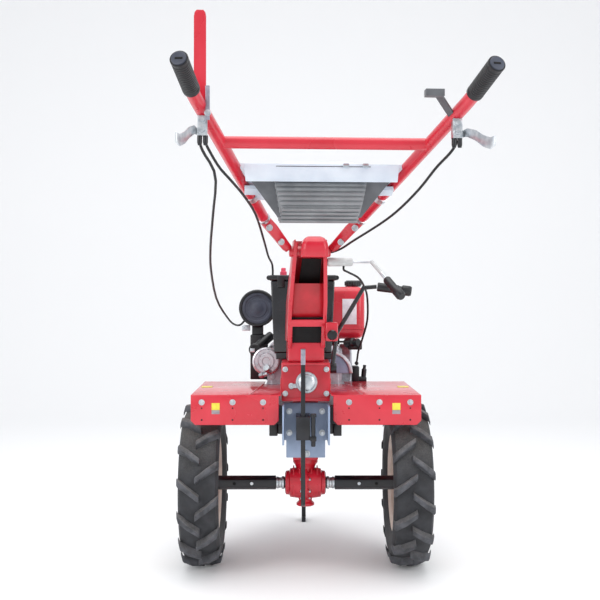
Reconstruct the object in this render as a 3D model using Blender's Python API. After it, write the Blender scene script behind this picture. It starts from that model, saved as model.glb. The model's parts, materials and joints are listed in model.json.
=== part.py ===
"""Two-wheeled diesel walking tractor, in metres: +Z up, +Y forwards, the operator stands at -Y.

The model is laid out with the wheel axle above x = 0, y = 0 and the floor at z = 0.
The last step moves it so that its origin is the middle of its footprint.
"""

import math

import bmesh
import bpy
from mathutils import Matrix, Vector

GAP = 0.0003  # between pieces that touch

# Wheels and axle
WHEEL_RADIUS = 0.236
TYRE_WIDTH = 0.114
RIM_RADIUS = 0.142
TRACK_HALF = 0.294  # machine's centre to a tyre's centre
AXLE_FLATS = 0.036  # hexagonal axle tube, across flats
STUB_RADIUS = 0.0145
STUB_LENGTH = 0.027

# Transmission
FINAL_DRIVE_HALF = 0.058
FINAL_DRIVE_RADIUS = 0.046
NECK_RADIUS = 0.032
LEG_HALF = 0.036
LEG_FRONT = 0.055
LEG_REAR = -0.05
GEARBOX_HALF = 0.068
GEARBOX_REAR = -0.13
GEARBOX_FRONT = 0.12
GEARBOX_BOTTOM = 0.485
GEARBOX_TOP = 0.593
COVER_RADIUS = 0.030

# Hitch and depth stake
HITCH_HALF = 0.0645
HITCH_REAR = -0.205
HITCH_WEB_Y = -0.100
HITCH_BOTTOM = 0.374
HITCH_TOP = 0.479
HITCH_LIP = 0.325
HITCH_WALL = 0.005
STAKE_X = -0.008
STAKE_Y = -0.170
STAKE_THICKNESS = 0.012
STAKE_DEPTH = 0.036
STAKE_TOP = 0.632
STAKE_BOTTOM = 0.202
SLEEVE_WALL = 0.012
SLEEVE_CLEARANCE = 0.001
SLEEVE_BOTTOM = 0.387
SLEEVE_TOP = 0.450

# Fenders
FENDER_OUTER = 0.314
FENDER_REAR = -0.180
FENDER_FRONT = 0.250
FENDER_TOP = 0.508
FENDER_SKIRT = 0.426
FENDER_SHEET = 0.003
FENDER_TAB = 0.545

# Engine bay
RAIL_HALF = 0.092  # centre of a rail
RAIL_WIDTH = 0.024
RAIL_BOTTOM = 0.375
RAIL_TOP = 0.425
FRAME_FRONT = 0.600
ENGINE_HALF = 0.115
ENGINE_REAR = 0.165
ENGINE_FRONT = 0.465
ENGINE_TOP = 0.625
ENGINE_CLEARANCE = 0.008  # to the fenders
BATTERY_HALF = 0.100
BATTERY_REAR = 0.005
BATTERY_FRONT = 0.125
BATTERY_TOP = 0.822
LID_RIM = 0.006
LID_HEIGHT = 0.016
TANK_LEFT = -0.084
TANK_RIGHT = 0.197
TANK_REAR = 0.200
TANK_FRONT = 0.420
TANK_TOP = 0.806
CAP_RADIUS = 0.027

# Front stand
STAND_Y = 0.560
STAND_PIVOT_Z = 0.330
STAND_WIDTH = 0.014
STAND_DEPTH = 0.030
STAND_FOOT = 0.016
STAND_CLEARANCE = 0.0006  # to each ear

# Handle column and handlebar
HANDLE_TURN = math.radians(3.5)  # the column stands turned a little to the right
TURN_Y = -0.100
COLUMN_BASE_TOP = 0.650
COLUMN_TOP = 0.925
COLUMN_WALL = 0.004
TILT_Y = -0.250
TILT_Z = 0.895
HUB_RADIUS = 0.026
TUBE_RADIUS = 0.0145
GRIP_RADIUS = 0.018
GRIP_LENGTH = 0.108
TUBE_FOOT = Vector((0.121, -0.330, 0.971))
TUBE_HEAD = Vector((0.281, -0.880, 1.180))
TUBE_END = Vector((0.303, -0.992, 1.223))
CROSSBAR_SHARE = 0.68  # of the way from foot to head
TRAY_REAR_SHARE = 0.50
TRAY_FRONT_SHARE = 0.22
TRAY_SHEET = 0.012
CABLE_RADIUS = 0.003

SELECTOR_FOOT = (0.0478, -0.235, 0.868)
SELECTOR_END = Vector((0.2321, -0.3346, 0.775))
CABLE_ROUTES = {  # from the handlebar down, each ending against the piece that it works
    "left_lever_cable": (
        (-0.2145, -0.834, 1.1066), (-0.2142, -0.8337, 1.094), (-0.207, -0.820, 1.078), (-0.190, -0.780, 1.050), (-0.167, -0.740, 1.026),
        (-0.145, -0.620, 1.004), (-0.124, -0.500, 0.972), (-0.110, -0.300, 0.919), (-0.104, -0.120, 0.887),
        (-0.097, -0.010, 0.872), (-0.095, 0.018, 0.854), (-0.095, 0.020, 0.8384),
    ),
    "left_throttle_cable": (
        (-0.2260, -0.838, 1.1066), (-0.2258, -0.8378, 1.094), (-0.220, -0.831, 1.076), (-0.197, -0.800, 1.029), (-0.212, -0.680, 0.958),
        (-0.231, -0.520, 0.894), (-0.243, -0.360, 0.841), (-0.247, -0.120, 0.766), (-0.228, 0.080, 0.708),
        (-0.216, 0.200, 0.688), (-0.202, 0.2430, 0.6862), (-0.1894, 0.245, 0.6982),
    ),
    "right_lever_cable": (
        (0.3060, -0.8075, 1.1066), (0.3057, -0.8070, 1.094), (0.296, -0.790, 1.078), (0.275, -0.740, 1.055), (0.248, -0.660, 1.017),
        (0.212, -0.570, 0.979), (0.176, -0.480, 0.952), (0.117, -0.360, 0.917), (0.092, -0.272, 0.902),
        (0.069, -0.2215, 0.8950), (0.0542, -0.2220, 0.8945),
    ),
    "engine_stop_cable": (
        (0.100, -0.2310, 0.8580), (0.1003, -0.2308, 0.847), (0.114, -0.206, 0.841), (0.146, -0.150, 0.826), (0.166, -0.090, 0.800),
        (0.177, -0.040, 0.770), (0.182, 0.030, 0.707), (0.172, 0.100, 0.648), (0.164, 0.150, 0.612),
        (0.163, 0.205, 0.580), (0.163, 0.2400, 0.5664), (0.163, 0.2552, 0.566),
    ),
}

SIDES = (("left", -1), ("right", 1))


def clear_scene():
    for obj in list(bpy.data.objects):
        bpy.data.objects.remove(obj, do_unlink=True)


def material(name, colour, roughness, metallic):
    made = bpy.data.materials.new(name)
    made.use_nodes = True
    shader = made.node_tree.nodes["Principled BSDF"]
    shader.inputs["Base Color"].default_value = (*colour, 1)
    shader.inputs["Roughness"].default_value = roughness
    shader.inputs["Metallic"].default_value = metallic
    made.diffuse_color = (*colour, 1)
    return made


def make_materials():
    table = (  # name, colour, roughness, metallic
        ("red_paint", (0.60, 0.008, 0.022), 0.30, 0.0),
        ("black_paint", (0.012, 0.012, 0.014), 0.40, 0.0),
        ("grey_blue_paint", (0.28, 0.36, 0.47), 0.45, 0.0),
        ("cream_paint", (0.80, 0.66, 0.55), 0.45, 0.0),
        ("tyre_rubber", (0.030, 0.031, 0.033), 0.85, 0.0),
        ("grip_rubber", (0.015, 0.015, 0.017), 0.70, 0.0),
        ("white_plastic", (0.62, 0.66, 0.70), 0.45, 0.0),
        ("grey_plastic", (0.42, 0.44, 0.45), 0.55, 0.0),
        ("black_plastic", (0.018, 0.019, 0.021), 0.50, 0.0),
        ("zinc_steel", (0.62, 0.63, 0.64), 0.35, 1.0),
        ("cast_aluminium", (0.66, 0.66, 0.68), 0.45, 1.0),
    )
    return {name: material(name, colour, rough, metal) for name, colour, rough, metal in table}


def empty(name, place, parent=None, turn=0.0):
    made = bpy.data.objects.new(name, None)
    made.location = place
    made.rotation_euler = (0, 0, turn)
    made.parent = parent
    bpy.context.scene.collection.objects.link(made)
    return made


def add(name, bm, slot, carrier, origin=(0, 0, 0), bevel=0.0, smooth=False):
    """Turns bm, drawn in the layout's coordinates, into an object whose origin is at that place."""
    bmesh.ops.translate(bm, verts=bm.verts, vec=-Vector(origin))
    bmesh.ops.recalc_face_normals(bm, faces=bm.faces)
    mesh = bpy.data.meshes.new(name)
    bm.to_mesh(mesh)
    bm.free()
    mesh.materials.append(MATERIALS[slot])
    if smooth:
        mesh.shade_smooth()
        mesh.set_sharp_from_angle(angle=math.radians(35))
    made = bpy.data.objects.new(name, mesh)
    bpy.context.scene.collection.objects.link(made)
    made.parent = carrier["empty"]
    made.location = Vector(origin) - carrier["at"]
    if bevel:
        edge = made.modifiers.new("edges", "BEVEL")
        edge.width = bevel
        edge.segments = 1
        edge.limit_method = "ANGLE"
        edge.angle_limit = math.radians(40)
    return made


def combine(made, other, operation):
    """Adds or cuts with another object, which stays in the scene as a hidden guide."""
    other.hide_render = True
    other.display_type = "WIRE"
    step = made.modifiers.new(other.name, "BOOLEAN")
    step.operation = operation
    step.object = other
    step.solver = "EXACT"


def block(low, high):
    bm = bmesh.new()
    low, high = Vector(low), Vector(high)
    size = high - low
    matrix = Matrix.Translation((low + high) / 2) @ Matrix.Diagonal((*size, 1))
    bmesh.ops.create_cube(bm, size=1, matrix=matrix)
    return bm


def prism(outline, axis, start, end):
    """Extrudes an outline along x, y or z; its points are the other two coordinates in order."""
    index = "xyz".index(axis)
    bm = bmesh.new()
    rings = []
    for along in (start, end):
        ring = []
        for point in outline:
            place = list(point)
            place.insert(index, along)
            ring.append(bm.verts.new(place))
        rings.append(ring)
    close_rings(bm, rings)
    return bm


def close_rings(bm, rings):
    for near, far in zip(rings, rings[1:]):
        for i in range(len(near)):
            j = (i + 1) % len(near)
            bm.faces.new((near[i], near[j], far[j], far[i]))
    bm.faces.new(rings[0])
    bm.faces.new(list(reversed(rings[-1])))


def turned(profile, centre, direction, sides=32):
    """Turns (along, radius) pairs round an axis through centre; a radius of 0 ends in a point."""
    turn = Vector((0, 0, 1)).rotation_difference(Vector(direction)).to_matrix()
    bm = bmesh.new()
    rings = []
    for along, radius in profile:
        ring = []
        for i in range(sides):
            angle = math.tau * i / sides
            offset = Vector((radius * math.cos(angle), radius * math.sin(angle), along))
            ring.append(bm.verts.new(Vector(centre) + turn @ offset))
        rings.append(ring)
    close_rings(bm, rings)
    return bm


def ring(profile, centre, direction, sides):
    """Turns a closed (along, radius) outline round an axis, for a hollow piece such as a tyre."""
    turn = Vector((0, 0, 1)).rotation_difference(Vector(direction)).to_matrix()
    bm = bmesh.new()
    columns = []
    for i in range(sides):
        angle = math.tau * i / sides
        column = []
        for along, radius in profile:
            offset = Vector((radius * math.cos(angle), radius * math.sin(angle), along))
            column.append(bm.verts.new(Vector(centre) + turn @ offset))
        columns.append(column)
    count = len(profile)
    for i in range(sides):
        near, far = columns[i], columns[(i + 1) % sides]
        for j in range(count):
            k = (j + 1) % count
            bm.faces.new((near[j], near[k], far[k], far[j]))
    return bm


def rod(start, end, radius, sides=12):
    start, end = Vector(start), Vector(end)
    length = (end - start).length
    return turned([(0, radius), (length, radius)], start, end - start, sides)


def bar(start, end, width, height, up=(0, 0, 1)):
    """A straight bar of rectangular section from start to end."""
    start, end = Vector(start), Vector(end)
    along = (end - start).normalized()
    side = along.cross(Vector(up)).normalized()
    top = side.cross(along)
    bm = bmesh.new()
    rings = []
    for place in (start, end):
        corners = ((-1, -1), (1, -1), (1, 1), (-1, 1))
        offsets = [side * a * width / 2 + top * b * height / 2 for a, b in corners]
        rings.append([bm.verts.new(place + offset) for offset in offsets])
    close_rings(bm, rings)
    return bm


def bent_rod(points, radius, sides=10):
    """A rod along a list of points, mitred at each bend."""
    points = [Vector(p) for p in points]
    bm = bmesh.new()
    rings = []
    side = None
    for i, point in enumerate(points):
        before = (point - points[i - 1]).normalized() if i else None
        after = (points[i + 1] - point).normalized() if i + 1 < len(points) else None
        along = ((before or after) + (after or before)).normalized()
        if side is None:
            side = along.orthogonal().normalized()
        side = (side - along * side.dot(along)).normalized()
        other = along.cross(side)
        stretch = 1 / max(0.5, along.dot(before or after))
        inward = ((after or along) - (before or along))
        inward = inward.normalized() if inward.length > 1e-6 else side
        ring = []
        for k in range(sides):
            angle = math.tau * k / sides
            offset = (side * math.cos(angle) + other * math.sin(angle)) * radius
            offset += inward * offset.dot(inward) * (stretch - 1)
            ring.append(bm.verts.new(point + offset))
        rings.append(ring)
    close_rings(bm, rings)
    return bm


def smooth_route(points, count):
    """Evenly many points of a smooth curve through the given ones."""
    points = [Vector(p) for p in points]
    ends = [points[0] * 2 - points[1], *points, points[-1] * 2 - points[-2]]
    route = []
    for i in range(count):
        place = i * (len(points) - 1) / (count - 1)
        k = min(int(place), len(points) - 2)
        t = place - k
        a, b, c, d = ends[k : k + 4]
        route.append(
            0.5 * (2 * b + (c - a) * t + (2 * a - 5 * b + 4 * c - d) * t**2
                   + (3 * b - a - 3 * c + d) * t**3)
        )
    return route


def cable(name, points, carrier, count=36):
    curve = bpy.data.curves.new(name, "CURVE")
    curve.dimensions = "3D"
    curve.bevel_depth = CABLE_RADIUS
    curve.bevel_resolution = 2
    curve.use_fill_caps = True
    curve.render_resolution_u = 0
    spline = curve.splines.new("POLY")
    route = smooth_route(points, count)
    spline.points.add(len(route) - 1)
    for item, place in zip(spline.points, route):
        item.co = (*(place - carrier["at"]), 1)
    curve.materials.append(MATERIALS["black_plastic"])
    made = bpy.data.objects.new(name, curve)
    bpy.context.scene.collection.objects.link(made)
    made.parent = carrier["empty"]
    return made


def make_wheel(side, sign, frame):
    centre = Vector((sign * TRACK_HALF, 0, WHEEL_RADIUS))
    axis = empty(f"{side}_wheel_axis", centre, frame["empty"])
    carrier = {"empty": axis, "at": centre}
    half = TYRE_WIDTH / 2
    outline = (  # across the tyre, radius
        (-half * 0.72, RIM_RADIUS + GAP),
        (-half * 0.96, RIM_RADIUS + 0.030),
        (-half, WHEEL_RADIUS * 0.80),
        (-half * 0.93, WHEEL_RADIUS * 0.93),
        (-half * 0.62, WHEEL_RADIUS * 0.985),
        (-half * 0.25, WHEEL_RADIUS),
        (half * 0.25, WHEEL_RADIUS),
        (half * 0.62, WHEEL_RADIUS * 0.985),
        (half * 0.93, WHEEL_RADIUS * 0.93),
        (half, WHEEL_RADIUS * 0.80),
        (half * 0.96, RIM_RADIUS + 0.030),
        (half * 0.72, RIM_RADIUS + GAP),
    )
    add(f"{side}_tyre", ring(outline, centre, (1, 0, 0), 40), "tyre_rubber", carrier, centre, smooth=True)
    make_rim(side, sign, centre, carrier)
    make_axle(side, sign, centre, carrier)


def make_rim(side, sign, centre, carrier):
    """Dished disc rim: a barrel with lips, closed by a disc that the axle's flange bolts to."""
    half = TYRE_WIDTH / 2
    sheet = 0.004
    barrel = RIM_RADIUS - 0.010
    disc = 0.012 * sign
    bore = AXLE_FLATS / 2 / math.cos(math.pi / 6) + GAP
    outline = (
        (-half * 0.74, RIM_RADIUS),
        (half * 0.74, RIM_RADIUS),
        (half * 0.74, RIM_RADIUS - sheet),
        (half * 0.60, barrel - sheet),
        (disc + sheet, barrel - sheet - 0.006),
        (disc + sheet, bore),
        (disc - sheet, bore),
        (disc - sheet, barrel - sheet - 0.006),
        (-half * 0.60, barrel - sheet),
        (-half * 0.74, RIM_RADIUS - sheet),
    )
    add(f"{side}_rim", ring(outline, centre, (1, 0, 0), 40), "cream_paint", carrier, centre, smooth=True)


def make_axle(side, sign, centre, carrier):
    """Hexagonal tube from outside the rim's disc to the round stub that enters the final drive."""
    corner = AXLE_FLATS / 2 / math.cos(math.pi / 6)
    outer = TRACK_HALF + 0.030
    inner = FINAL_DRIVE_HALF + STUB_LENGTH
    flange = 0.045
    seat = TRACK_HALF + 0.012 - 0.004 - GAP
    direction = (-sign, 0, 0)
    start = Vector((sign * outer, 0, centre.z))
    hexagon = turned([(0, corner), (outer - inner, corner)], start, direction, 6)
    made = add(f"{side}_axle", hexagon, "black_paint", carrier, centre)
    stub = turned([(0, STUB_RADIUS), (STUB_LENGTH + 0.01 - GAP, STUB_RADIUS)],
                  (sign * (inner + 0.01), 0, centre.z), direction, 20)
    combine(made, add(f"{side}_stub_guide", stub, "zinc_steel", carrier, centre), "UNION")
    plate = turned([(0, flange), (0.008, flange)], (sign * seat, 0, centre.z), direction, 24)
    combine(made, add(f"{side}_flange_guide", plate, "black_paint", carrier, centre), "UNION")


def make_transmission(frame):
    z = WHEEL_RADIUS
    neck_top = z + 0.072
    drive = turned(
        [(-FINAL_DRIVE_HALF, 0.034), (-FINAL_DRIVE_HALF + 0.012, 0.040), (-0.020, FINAL_DRIVE_RADIUS),
         (0.020, FINAL_DRIVE_RADIUS), (FINAL_DRIVE_HALF - 0.012, 0.040), (FINAL_DRIVE_HALF, 0.034)],
        (0, 0, z), (1, 0, 0), 28)
    made = add("final_drive_case", drive, "red_paint", frame, (0, 0, z))
    neck = turned([(-0.066, 0.024), (-0.045, NECK_RADIUS), (neck_top - z - GAP, NECK_RADIUS)],
                  (0, 0, z), (0, 0, 1), 28)
    combine(made, add("neck_guide", neck, "red_paint", frame), "UNION")

    case = block((-GEARBOX_HALF, GEARBOX_REAR, GEARBOX_BOTTOM), (GEARBOX_HALF, GEARBOX_FRONT, GEARBOX_TOP))
    made = add("gearbox_case", case, "red_paint", frame)
    leg = block((-LEG_HALF, LEG_REAR, neck_top), (LEG_HALF, LEG_FRONT, GEARBOX_BOTTOM + 0.01))
    combine(made, add("leg_guide", leg, "red_paint", frame), "UNION")
    boss = block((-LEG_HALF, HITCH_WEB_Y + GAP, HITCH_BOTTOM + 0.010), (LEG_HALF, LEG_REAR + 0.01, HITCH_TOP - 0.010))
    combine(made, add("hitch_boss_guide", boss, "red_paint", frame), "UNION")

    cover = turned([(GAP, COVER_RADIUS), (0.010, COVER_RADIUS), (0.0145, 0.020)],
                   (0.002, GEARBOX_REAR, 0.538), (0, -1, 0), 28)
    add("pto_cover", cover, "zinc_steel", frame, smooth=True)


def make_hitch(frame):
    """Channel open to the rear, with a narrower lip below, and the square sleeve inside it."""
    wall = HITCH_WALL
    web = HITCH_WEB_Y
    outline = (  # x, y
        (-HITCH_HALF, web), (-HITCH_HALF, HITCH_REAR), (-HITCH_HALF + wall, HITCH_REAR),
        (-HITCH_HALF + wall, web - wall), (HITCH_HALF - wall, web - wall), (HITCH_HALF - wall, HITCH_REAR),
        (HITCH_HALF, HITCH_REAR), (HITCH_HALF, web),
    )
    made = add("hitch_bracket", prism(outline, "z", HITCH_BOTTOM, HITCH_TOP), "grey_blue_paint", frame)
    lip = block((-HITCH_HALF + 0.010, web - wall, HITCH_LIP), (HITCH_HALF - 0.010, web, HITCH_BOTTOM + 0.02))
    combine(made, add("lip_guide", lip, "grey_blue_paint", frame), "UNION")

    x_half = STAKE_THICKNESS / 2 + SLEEVE_CLEARANCE
    y_half = STAKE_DEPTH / 2 + SLEEVE_CLEARANCE
    low = (STAKE_X - x_half - SLEEVE_WALL, STAKE_Y - y_half - SLEEVE_WALL, SLEEVE_BOTTOM)
    high = (STAKE_X + x_half + SLEEVE_WALL, web - wall - GAP, SLEEVE_TOP)
    sleeve = add("stake_sleeve", block(low, high), "black_paint", frame)
    hole = block((STAKE_X - x_half, STAKE_Y - y_half, SLEEVE_BOTTOM - 0.01),
                 (STAKE_X + x_half, STAKE_Y + y_half, SLEEVE_TOP + 0.01))
    combine(sleeve, add("sleeve_hole_guide", hole, "black_paint", frame), "DIFFERENCE")

    half = STAKE_DEPTH / 2
    outline = (  # y, z, with the digging point in front
        (STAKE_Y - half, STAKE_TOP), (STAKE_Y - half, STAKE_BOTTOM + 0.010), (STAKE_Y, STAKE_BOTTOM),
        (STAKE_Y + half, STAKE_BOTTOM + 0.020), (STAKE_Y + half, STAKE_TOP),
    )
    stake = prism(outline, "x", STAKE_X - STAKE_THICKNESS / 2, STAKE_X + STAKE_THICKNESS / 2)
    add("depth_stake", stake, "black_paint", frame, (STAKE_X, STAKE_Y, SLEEVE_TOP))


def make_fender(side, sign, frame):
    """Bent sheet over one wheel: a top, a skirt behind and a tab bolted to the gearbox."""
    sheet = FENDER_SHEET
    inner = GEARBOX_HALF + GAP
    x = [sign * value for value in (inner, FENDER_OUTER)]
    low = (min(x), FENDER_REAR, FENDER_TOP - sheet)
    high = (max(x), FENDER_FRONT, FENDER_TOP)
    made = add(f"{side}_fender", block(low, high), "red_paint", frame)
    notch = sorted((0.0, sign * (ENGINE_HALF + ENGINE_CLEARANCE)))
    opening = block((notch[0], ENGINE_REAR - ENGINE_CLEARANCE, FENDER_TOP - 0.01),
                    (notch[1], FENDER_FRONT + 0.01, FENDER_TOP + 0.01))
    combine(made, add(f"{side}_notch_guide", opening, "red_paint", frame), "DIFFERENCE")
    chamfer = 0.012
    skirt = (  # across, z
        (sign * (inner + 0.006), FENDER_TOP), (sign * FENDER_OUTER, FENDER_TOP),
        (sign * FENDER_OUTER, FENDER_SKIRT + chamfer), (sign * (FENDER_OUTER - chamfer), FENDER_SKIRT),
        (sign * (inner + 0.006 + chamfer), FENDER_SKIRT), (sign * (inner + 0.006), FENDER_SKIRT + chamfer),
    )
    plate = prism(skirt, "y", FENDER_REAR, FENDER_REAR + sheet)
    combine(made, add(f"{side}_skirt_guide", plate, "red_paint", frame), "UNION")
    edge = sorted((sign * inner, sign * (inner + sheet)))
    tab = block((edge[0], -0.09, FENDER_TOP - sheet), (edge[1], 0.09, FENDER_TAB))
    combine(made, add(f"{side}_tab_guide", tab, "red_paint", frame), "UNION")


def make_engine_frame(frame):
    """Two rails from the gearbox leg forwards, joined at the front by the stand's crossmember."""
    for side, sign in SIDES:
        x = sorted((sign * (RAIL_HALF - RAIL_WIDTH / 2), sign * (RAIL_HALF + RAIL_WIDTH / 2)))
        rail = block((x[0], -0.030, RAIL_BOTTOM), (x[1], FRAME_FRONT, RAIL_TOP))
        add(f"{side}_frame_rail", rail, "black_paint", frame)
        start = sign * (LEG_HALF + GAP)
        end = sign * (RAIL_HALF - RAIL_WIDTH / 2 - GAP)
        low, high = sorted((start, end))
        mount = block((low, -0.025, RAIL_BOTTOM + 0.005), (high, 0.045, RAIL_TOP - 0.005))
        add(f"{side}_frame_bracket", mount, "black_paint", frame)
    inside = RAIL_HALF - RAIL_WIDTH / 2 - GAP
    cross = block((-inside, FRAME_FRONT - 0.055, RAIL_BOTTOM), (inside, FRAME_FRONT - 0.025, RAIL_TOP))
    made = add("stand_crossmember", cross, "black_paint", frame)
    ear = STAND_WIDTH / 2 + STAND_CLEARANCE
    for sign in (-1, 1):
        x = sorted((sign * ear, sign * (ear + 0.005)))
        cheek = block((x[0], STAND_Y - 0.016, STAND_PIVOT_Z - 0.018), (x[1], STAND_Y + 0.016, RAIL_BOTTOM + 0.01))
        combine(made, add(f"ear_guide_{sign}", cheek, "black_paint", frame), "UNION")


def make_front_stand(frame):
    """Leg that hangs between two ears and swings up forwards."""
    pivot = Vector((0, STAND_Y, STAND_PIVOT_Z))
    carrier = {"empty": empty("stand_axis", pivot, frame["empty"]), "at": pivot}
    half = STAND_DEPTH / 2
    outline = (  # y, z
        (STAND_Y - half, STAND_PIVOT_Z + half), (STAND_Y - half, STAND_FOOT),
        (STAND_Y - 0.030, STAND_FOOT), (STAND_Y - 0.030, 0.0), (STAND_Y + 0.030, 0.0),
        (STAND_Y + 0.030, STAND_FOOT), (STAND_Y + half, STAND_FOOT), (STAND_Y + half, STAND_PIVOT_Z + half),
    )
    leg = prism(outline, "x", -STAND_WIDTH / 2, STAND_WIDTH / 2)
    add("front_stand", leg, "black_paint", carrier, pivot)


def make_engine(frame):
    z = RAIL_TOP + GAP
    engine = block((-ENGINE_HALF, ENGINE_REAR, z), (ENGINE_HALF, ENGINE_FRONT, ENGINE_TOP))
    add("engine_block", engine, "cast_aluminium", frame, bevel=0.012)
    bell = turned([(GAP, 0.052), (ENGINE_REAR - GEARBOX_FRONT - GAP, 0.070)],
                  (0, GEARBOX_FRONT, 0.545), (0, 1, 0), 28)
    bell_piece = add("bell_housing", bell, "cast_aluminium", frame)
    floor = block((-0.1, GEARBOX_FRONT - 0.01, 0.40), (0.1, ENGINE_REAR + 0.01, GEARBOX_BOTTOM))
    combine(bell_piece, add("bell_floor_guide", floor, "cast_aluminium", frame), "DIFFERENCE")

    motor = turned([(GAP, 0.040), (0.030, 0.043), (0.036, 0.036)], (-0.117, ENGINE_REAR, 0.579), (0, -1, 0), 28)
    add("starter_motor", motor, "cast_aluminium", frame, smooth=True)

    shroud = (  # y, z, the flywheel's cowl
        (0.256, 0.478), (0.430, 0.478), (0.455, 0.540), (0.430, 0.605), (0.380, 0.622), (0.256, 0.622),
    )
    add("flywheel_cowl", prism(shroud, "x", ENGINE_HALF + GAP, 0.205), "cast_aluminium", frame, bevel=0.012)

    canister = turned([(0, 0.052), (0.008, 0.057), (0.080, 0.058), (0.088, 0.054)],
                      (-0.147, 0.215, 0.739), (0, 1, 0), 32)
    add("air_cleaner", canister, "black_plastic", frame, smooth=True)
    intake = block((-0.170, 0.235, ENGINE_TOP + GAP - 0.110), (-ENGINE_HALF - GAP, 0.275, 0.655))
    made = add("intake_duct", intake, "black_plastic", frame)
    saddle = turned([(-0.02, 0.058 + GAP), (0.12, 0.058 + GAP)], (-0.147, 0.215, 0.739), (0, 1, 0), 32)
    upper = block((-0.165, 0.240, 0.640), (-0.130, 0.270, 0.700))
    combine(made, add("intake_guide", upper, "black_plastic", frame), "UNION")
    combine(made, add("saddle_guide", saddle, "black_plastic", frame), "DIFFERENCE")

    z = ENGINE_TOP + GAP
    tank = block((TANK_LEFT, TANK_REAR, z), (TANK_RIGHT, TANK_FRONT, TANK_TOP))
    add("fuel_tank", tank, "red_paint", frame, bevel=0.018)
    cap = turned([(GAP, CAP_RADIUS * 0.9), (0.008, CAP_RADIUS), (0.020, CAP_RADIUS)],
                 (0.154, 0.270, TANK_TOP), (0, 0, 1), 24)
    add("fuel_cap", cap, "black_plastic", frame, smooth=True)

    muffler = turned([(0, 0.035), (0.012, 0.048), (0.150, 0.048), (0.162, 0.035)],
                     (-0.08, ENGINE_FRONT + 0.049 + 0.012, 0.560), (1, 0, 0), 28)
    made = add("muffler", muffler, "black_paint", frame, smooth=True)
    port = block((-0.03, ENGINE_FRONT + GAP, 0.545), (0.03, ENGINE_FRONT + 0.06, 0.575))
    combine(made, add("exhaust_port_guide", port, "black_paint", frame), "UNION")


def make_battery(frame):
    tray = block((-0.085, BATTERY_REAR, GEARBOX_TOP + GAP), (0.085, BATTERY_FRONT - 0.006, GEARBOX_TOP + 0.018))
    add("battery_tray", tray, "black_paint", frame)
    low = GEARBOX_TOP + 0.018 + GAP
    taper = 0.010
    outline = (  # x, z
        (-BATTERY_HALF + taper, low), (BATTERY_HALF - taper, low),
        (BATTERY_HALF, BATTERY_TOP), (-BATTERY_HALF, BATTERY_TOP),
    )
    add("battery_box", prism(outline, "y", BATTERY_REAR, BATTERY_FRONT), "black_plastic", frame, bevel=0.003)
    rim = LID_RIM
    lid = block((-BATTERY_HALF - rim, BATTERY_REAR - rim, BATTERY_TOP + GAP),
                (BATTERY_HALF + rim, BATTERY_FRONT + rim, BATTERY_TOP + LID_HEIGHT))
    add("battery_lid", lid, "black_plastic", frame, bevel=0.003)


def make_shift_levers(frame):
    """Main gear lever on the right of the gearbox, and the selector beside the column."""
    foot = Vector((GEARBOX_HALF + 0.0065, -0.100, 0.575))
    lever = bent_rod([foot, (0.086, -0.110, 0.673), (0.160, -0.130, 0.800), (0.196, -0.132, 0.803)], 0.006, 8)
    made = add("gear_lever", lever, "black_paint", frame)
    boss = rod((GEARBOX_HALF + GAP, -0.100, 0.575), (GEARBOX_HALF + 0.018, -0.100, 0.575), 0.014, 16)
    combine(made, add("lever_boss_guide", boss, "black_paint", frame), "UNION")
    grip = rod((0.1978, -0.132, 0.8028), (0.292, -0.136, 0.790), 0.0125, 16)
    add("gear_lever_grip", grip, "grip_rubber", frame, smooth=True)


def make_selector(frame):
    """Selector on the right of the column: a guide tube, a thin rod and a cranked handle with its grip."""
    x, y, z = SELECTOR_FOOT
    made = add("selector_lever", rod((x, y, z), (x + 0.068, y, z), 0.0093, 20), "zinc_steel", frame, smooth=True)
    crank = Vector((x + 0.120, y, z))
    stick = bent_rod([(x + 0.060, y, z), crank], 0.003, 10)
    combine(made, add("selector_rod_guide", stick, "zinc_steel", frame), "UNION")
    down = (SELECTOR_END - crank).normalized()
    grip_start = crank.lerp(SELECTOR_END, 0.5)
    handle = rod(crank - down * 0.004, grip_start, 0.0055, 12)
    combine(made, add("selector_handle_guide", handle, "zinc_steel", frame), "UNION")
    add("selector_grip", rod(grip_start + down * GAP, SELECTOR_END, 0.011, 16), "grip_rubber", frame, smooth=True)


def make_cables(frame):
    """Control cables: two from the left lever, one from the right lever, and the engine's stop cable."""
    for name, points in CABLE_ROUTES.items():
        cable(name, points, frame)


def make_column(frame):
    base = block((-0.050, -0.125, GEARBOX_TOP + GAP), (0.050, -0.012, COLUMN_BASE_TOP))
    add("column_base", base, "red_paint", frame, bevel=0.004)
    levels = (  # z, front y, rear y, half width
        (COLUMN_BASE_TOP + GAP, -0.020, -0.120, 0.054),
        (0.760, -0.060, -0.190, 0.053),
        (COLUMN_TOP, -0.205, -0.285, 0.043),
    )
    wall = COLUMN_WALL
    bm = bmesh.new()
    rings = []
    for z, front, rear, half in levels:
        outline = (
            (-half, front), (-half, rear), (-half + wall, rear), (-half + wall, front - wall),
            (half - wall, front - wall), (half - wall, rear), (half, rear), (half, front),
        )
        rings.append([bm.verts.new((x, y, z)) for x, y in outline])
    close_rings(bm, rings)
    add("handle_column", bm, "red_paint", frame)


def tube_point(sign, share):
    place = TUBE_FOOT.lerp(TUBE_HEAD, share)
    return Vector((sign * place.x, place.y, place.z))


def mirrored(point, sign):
    return Vector((sign * point.x, point.y, point.z))


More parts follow.
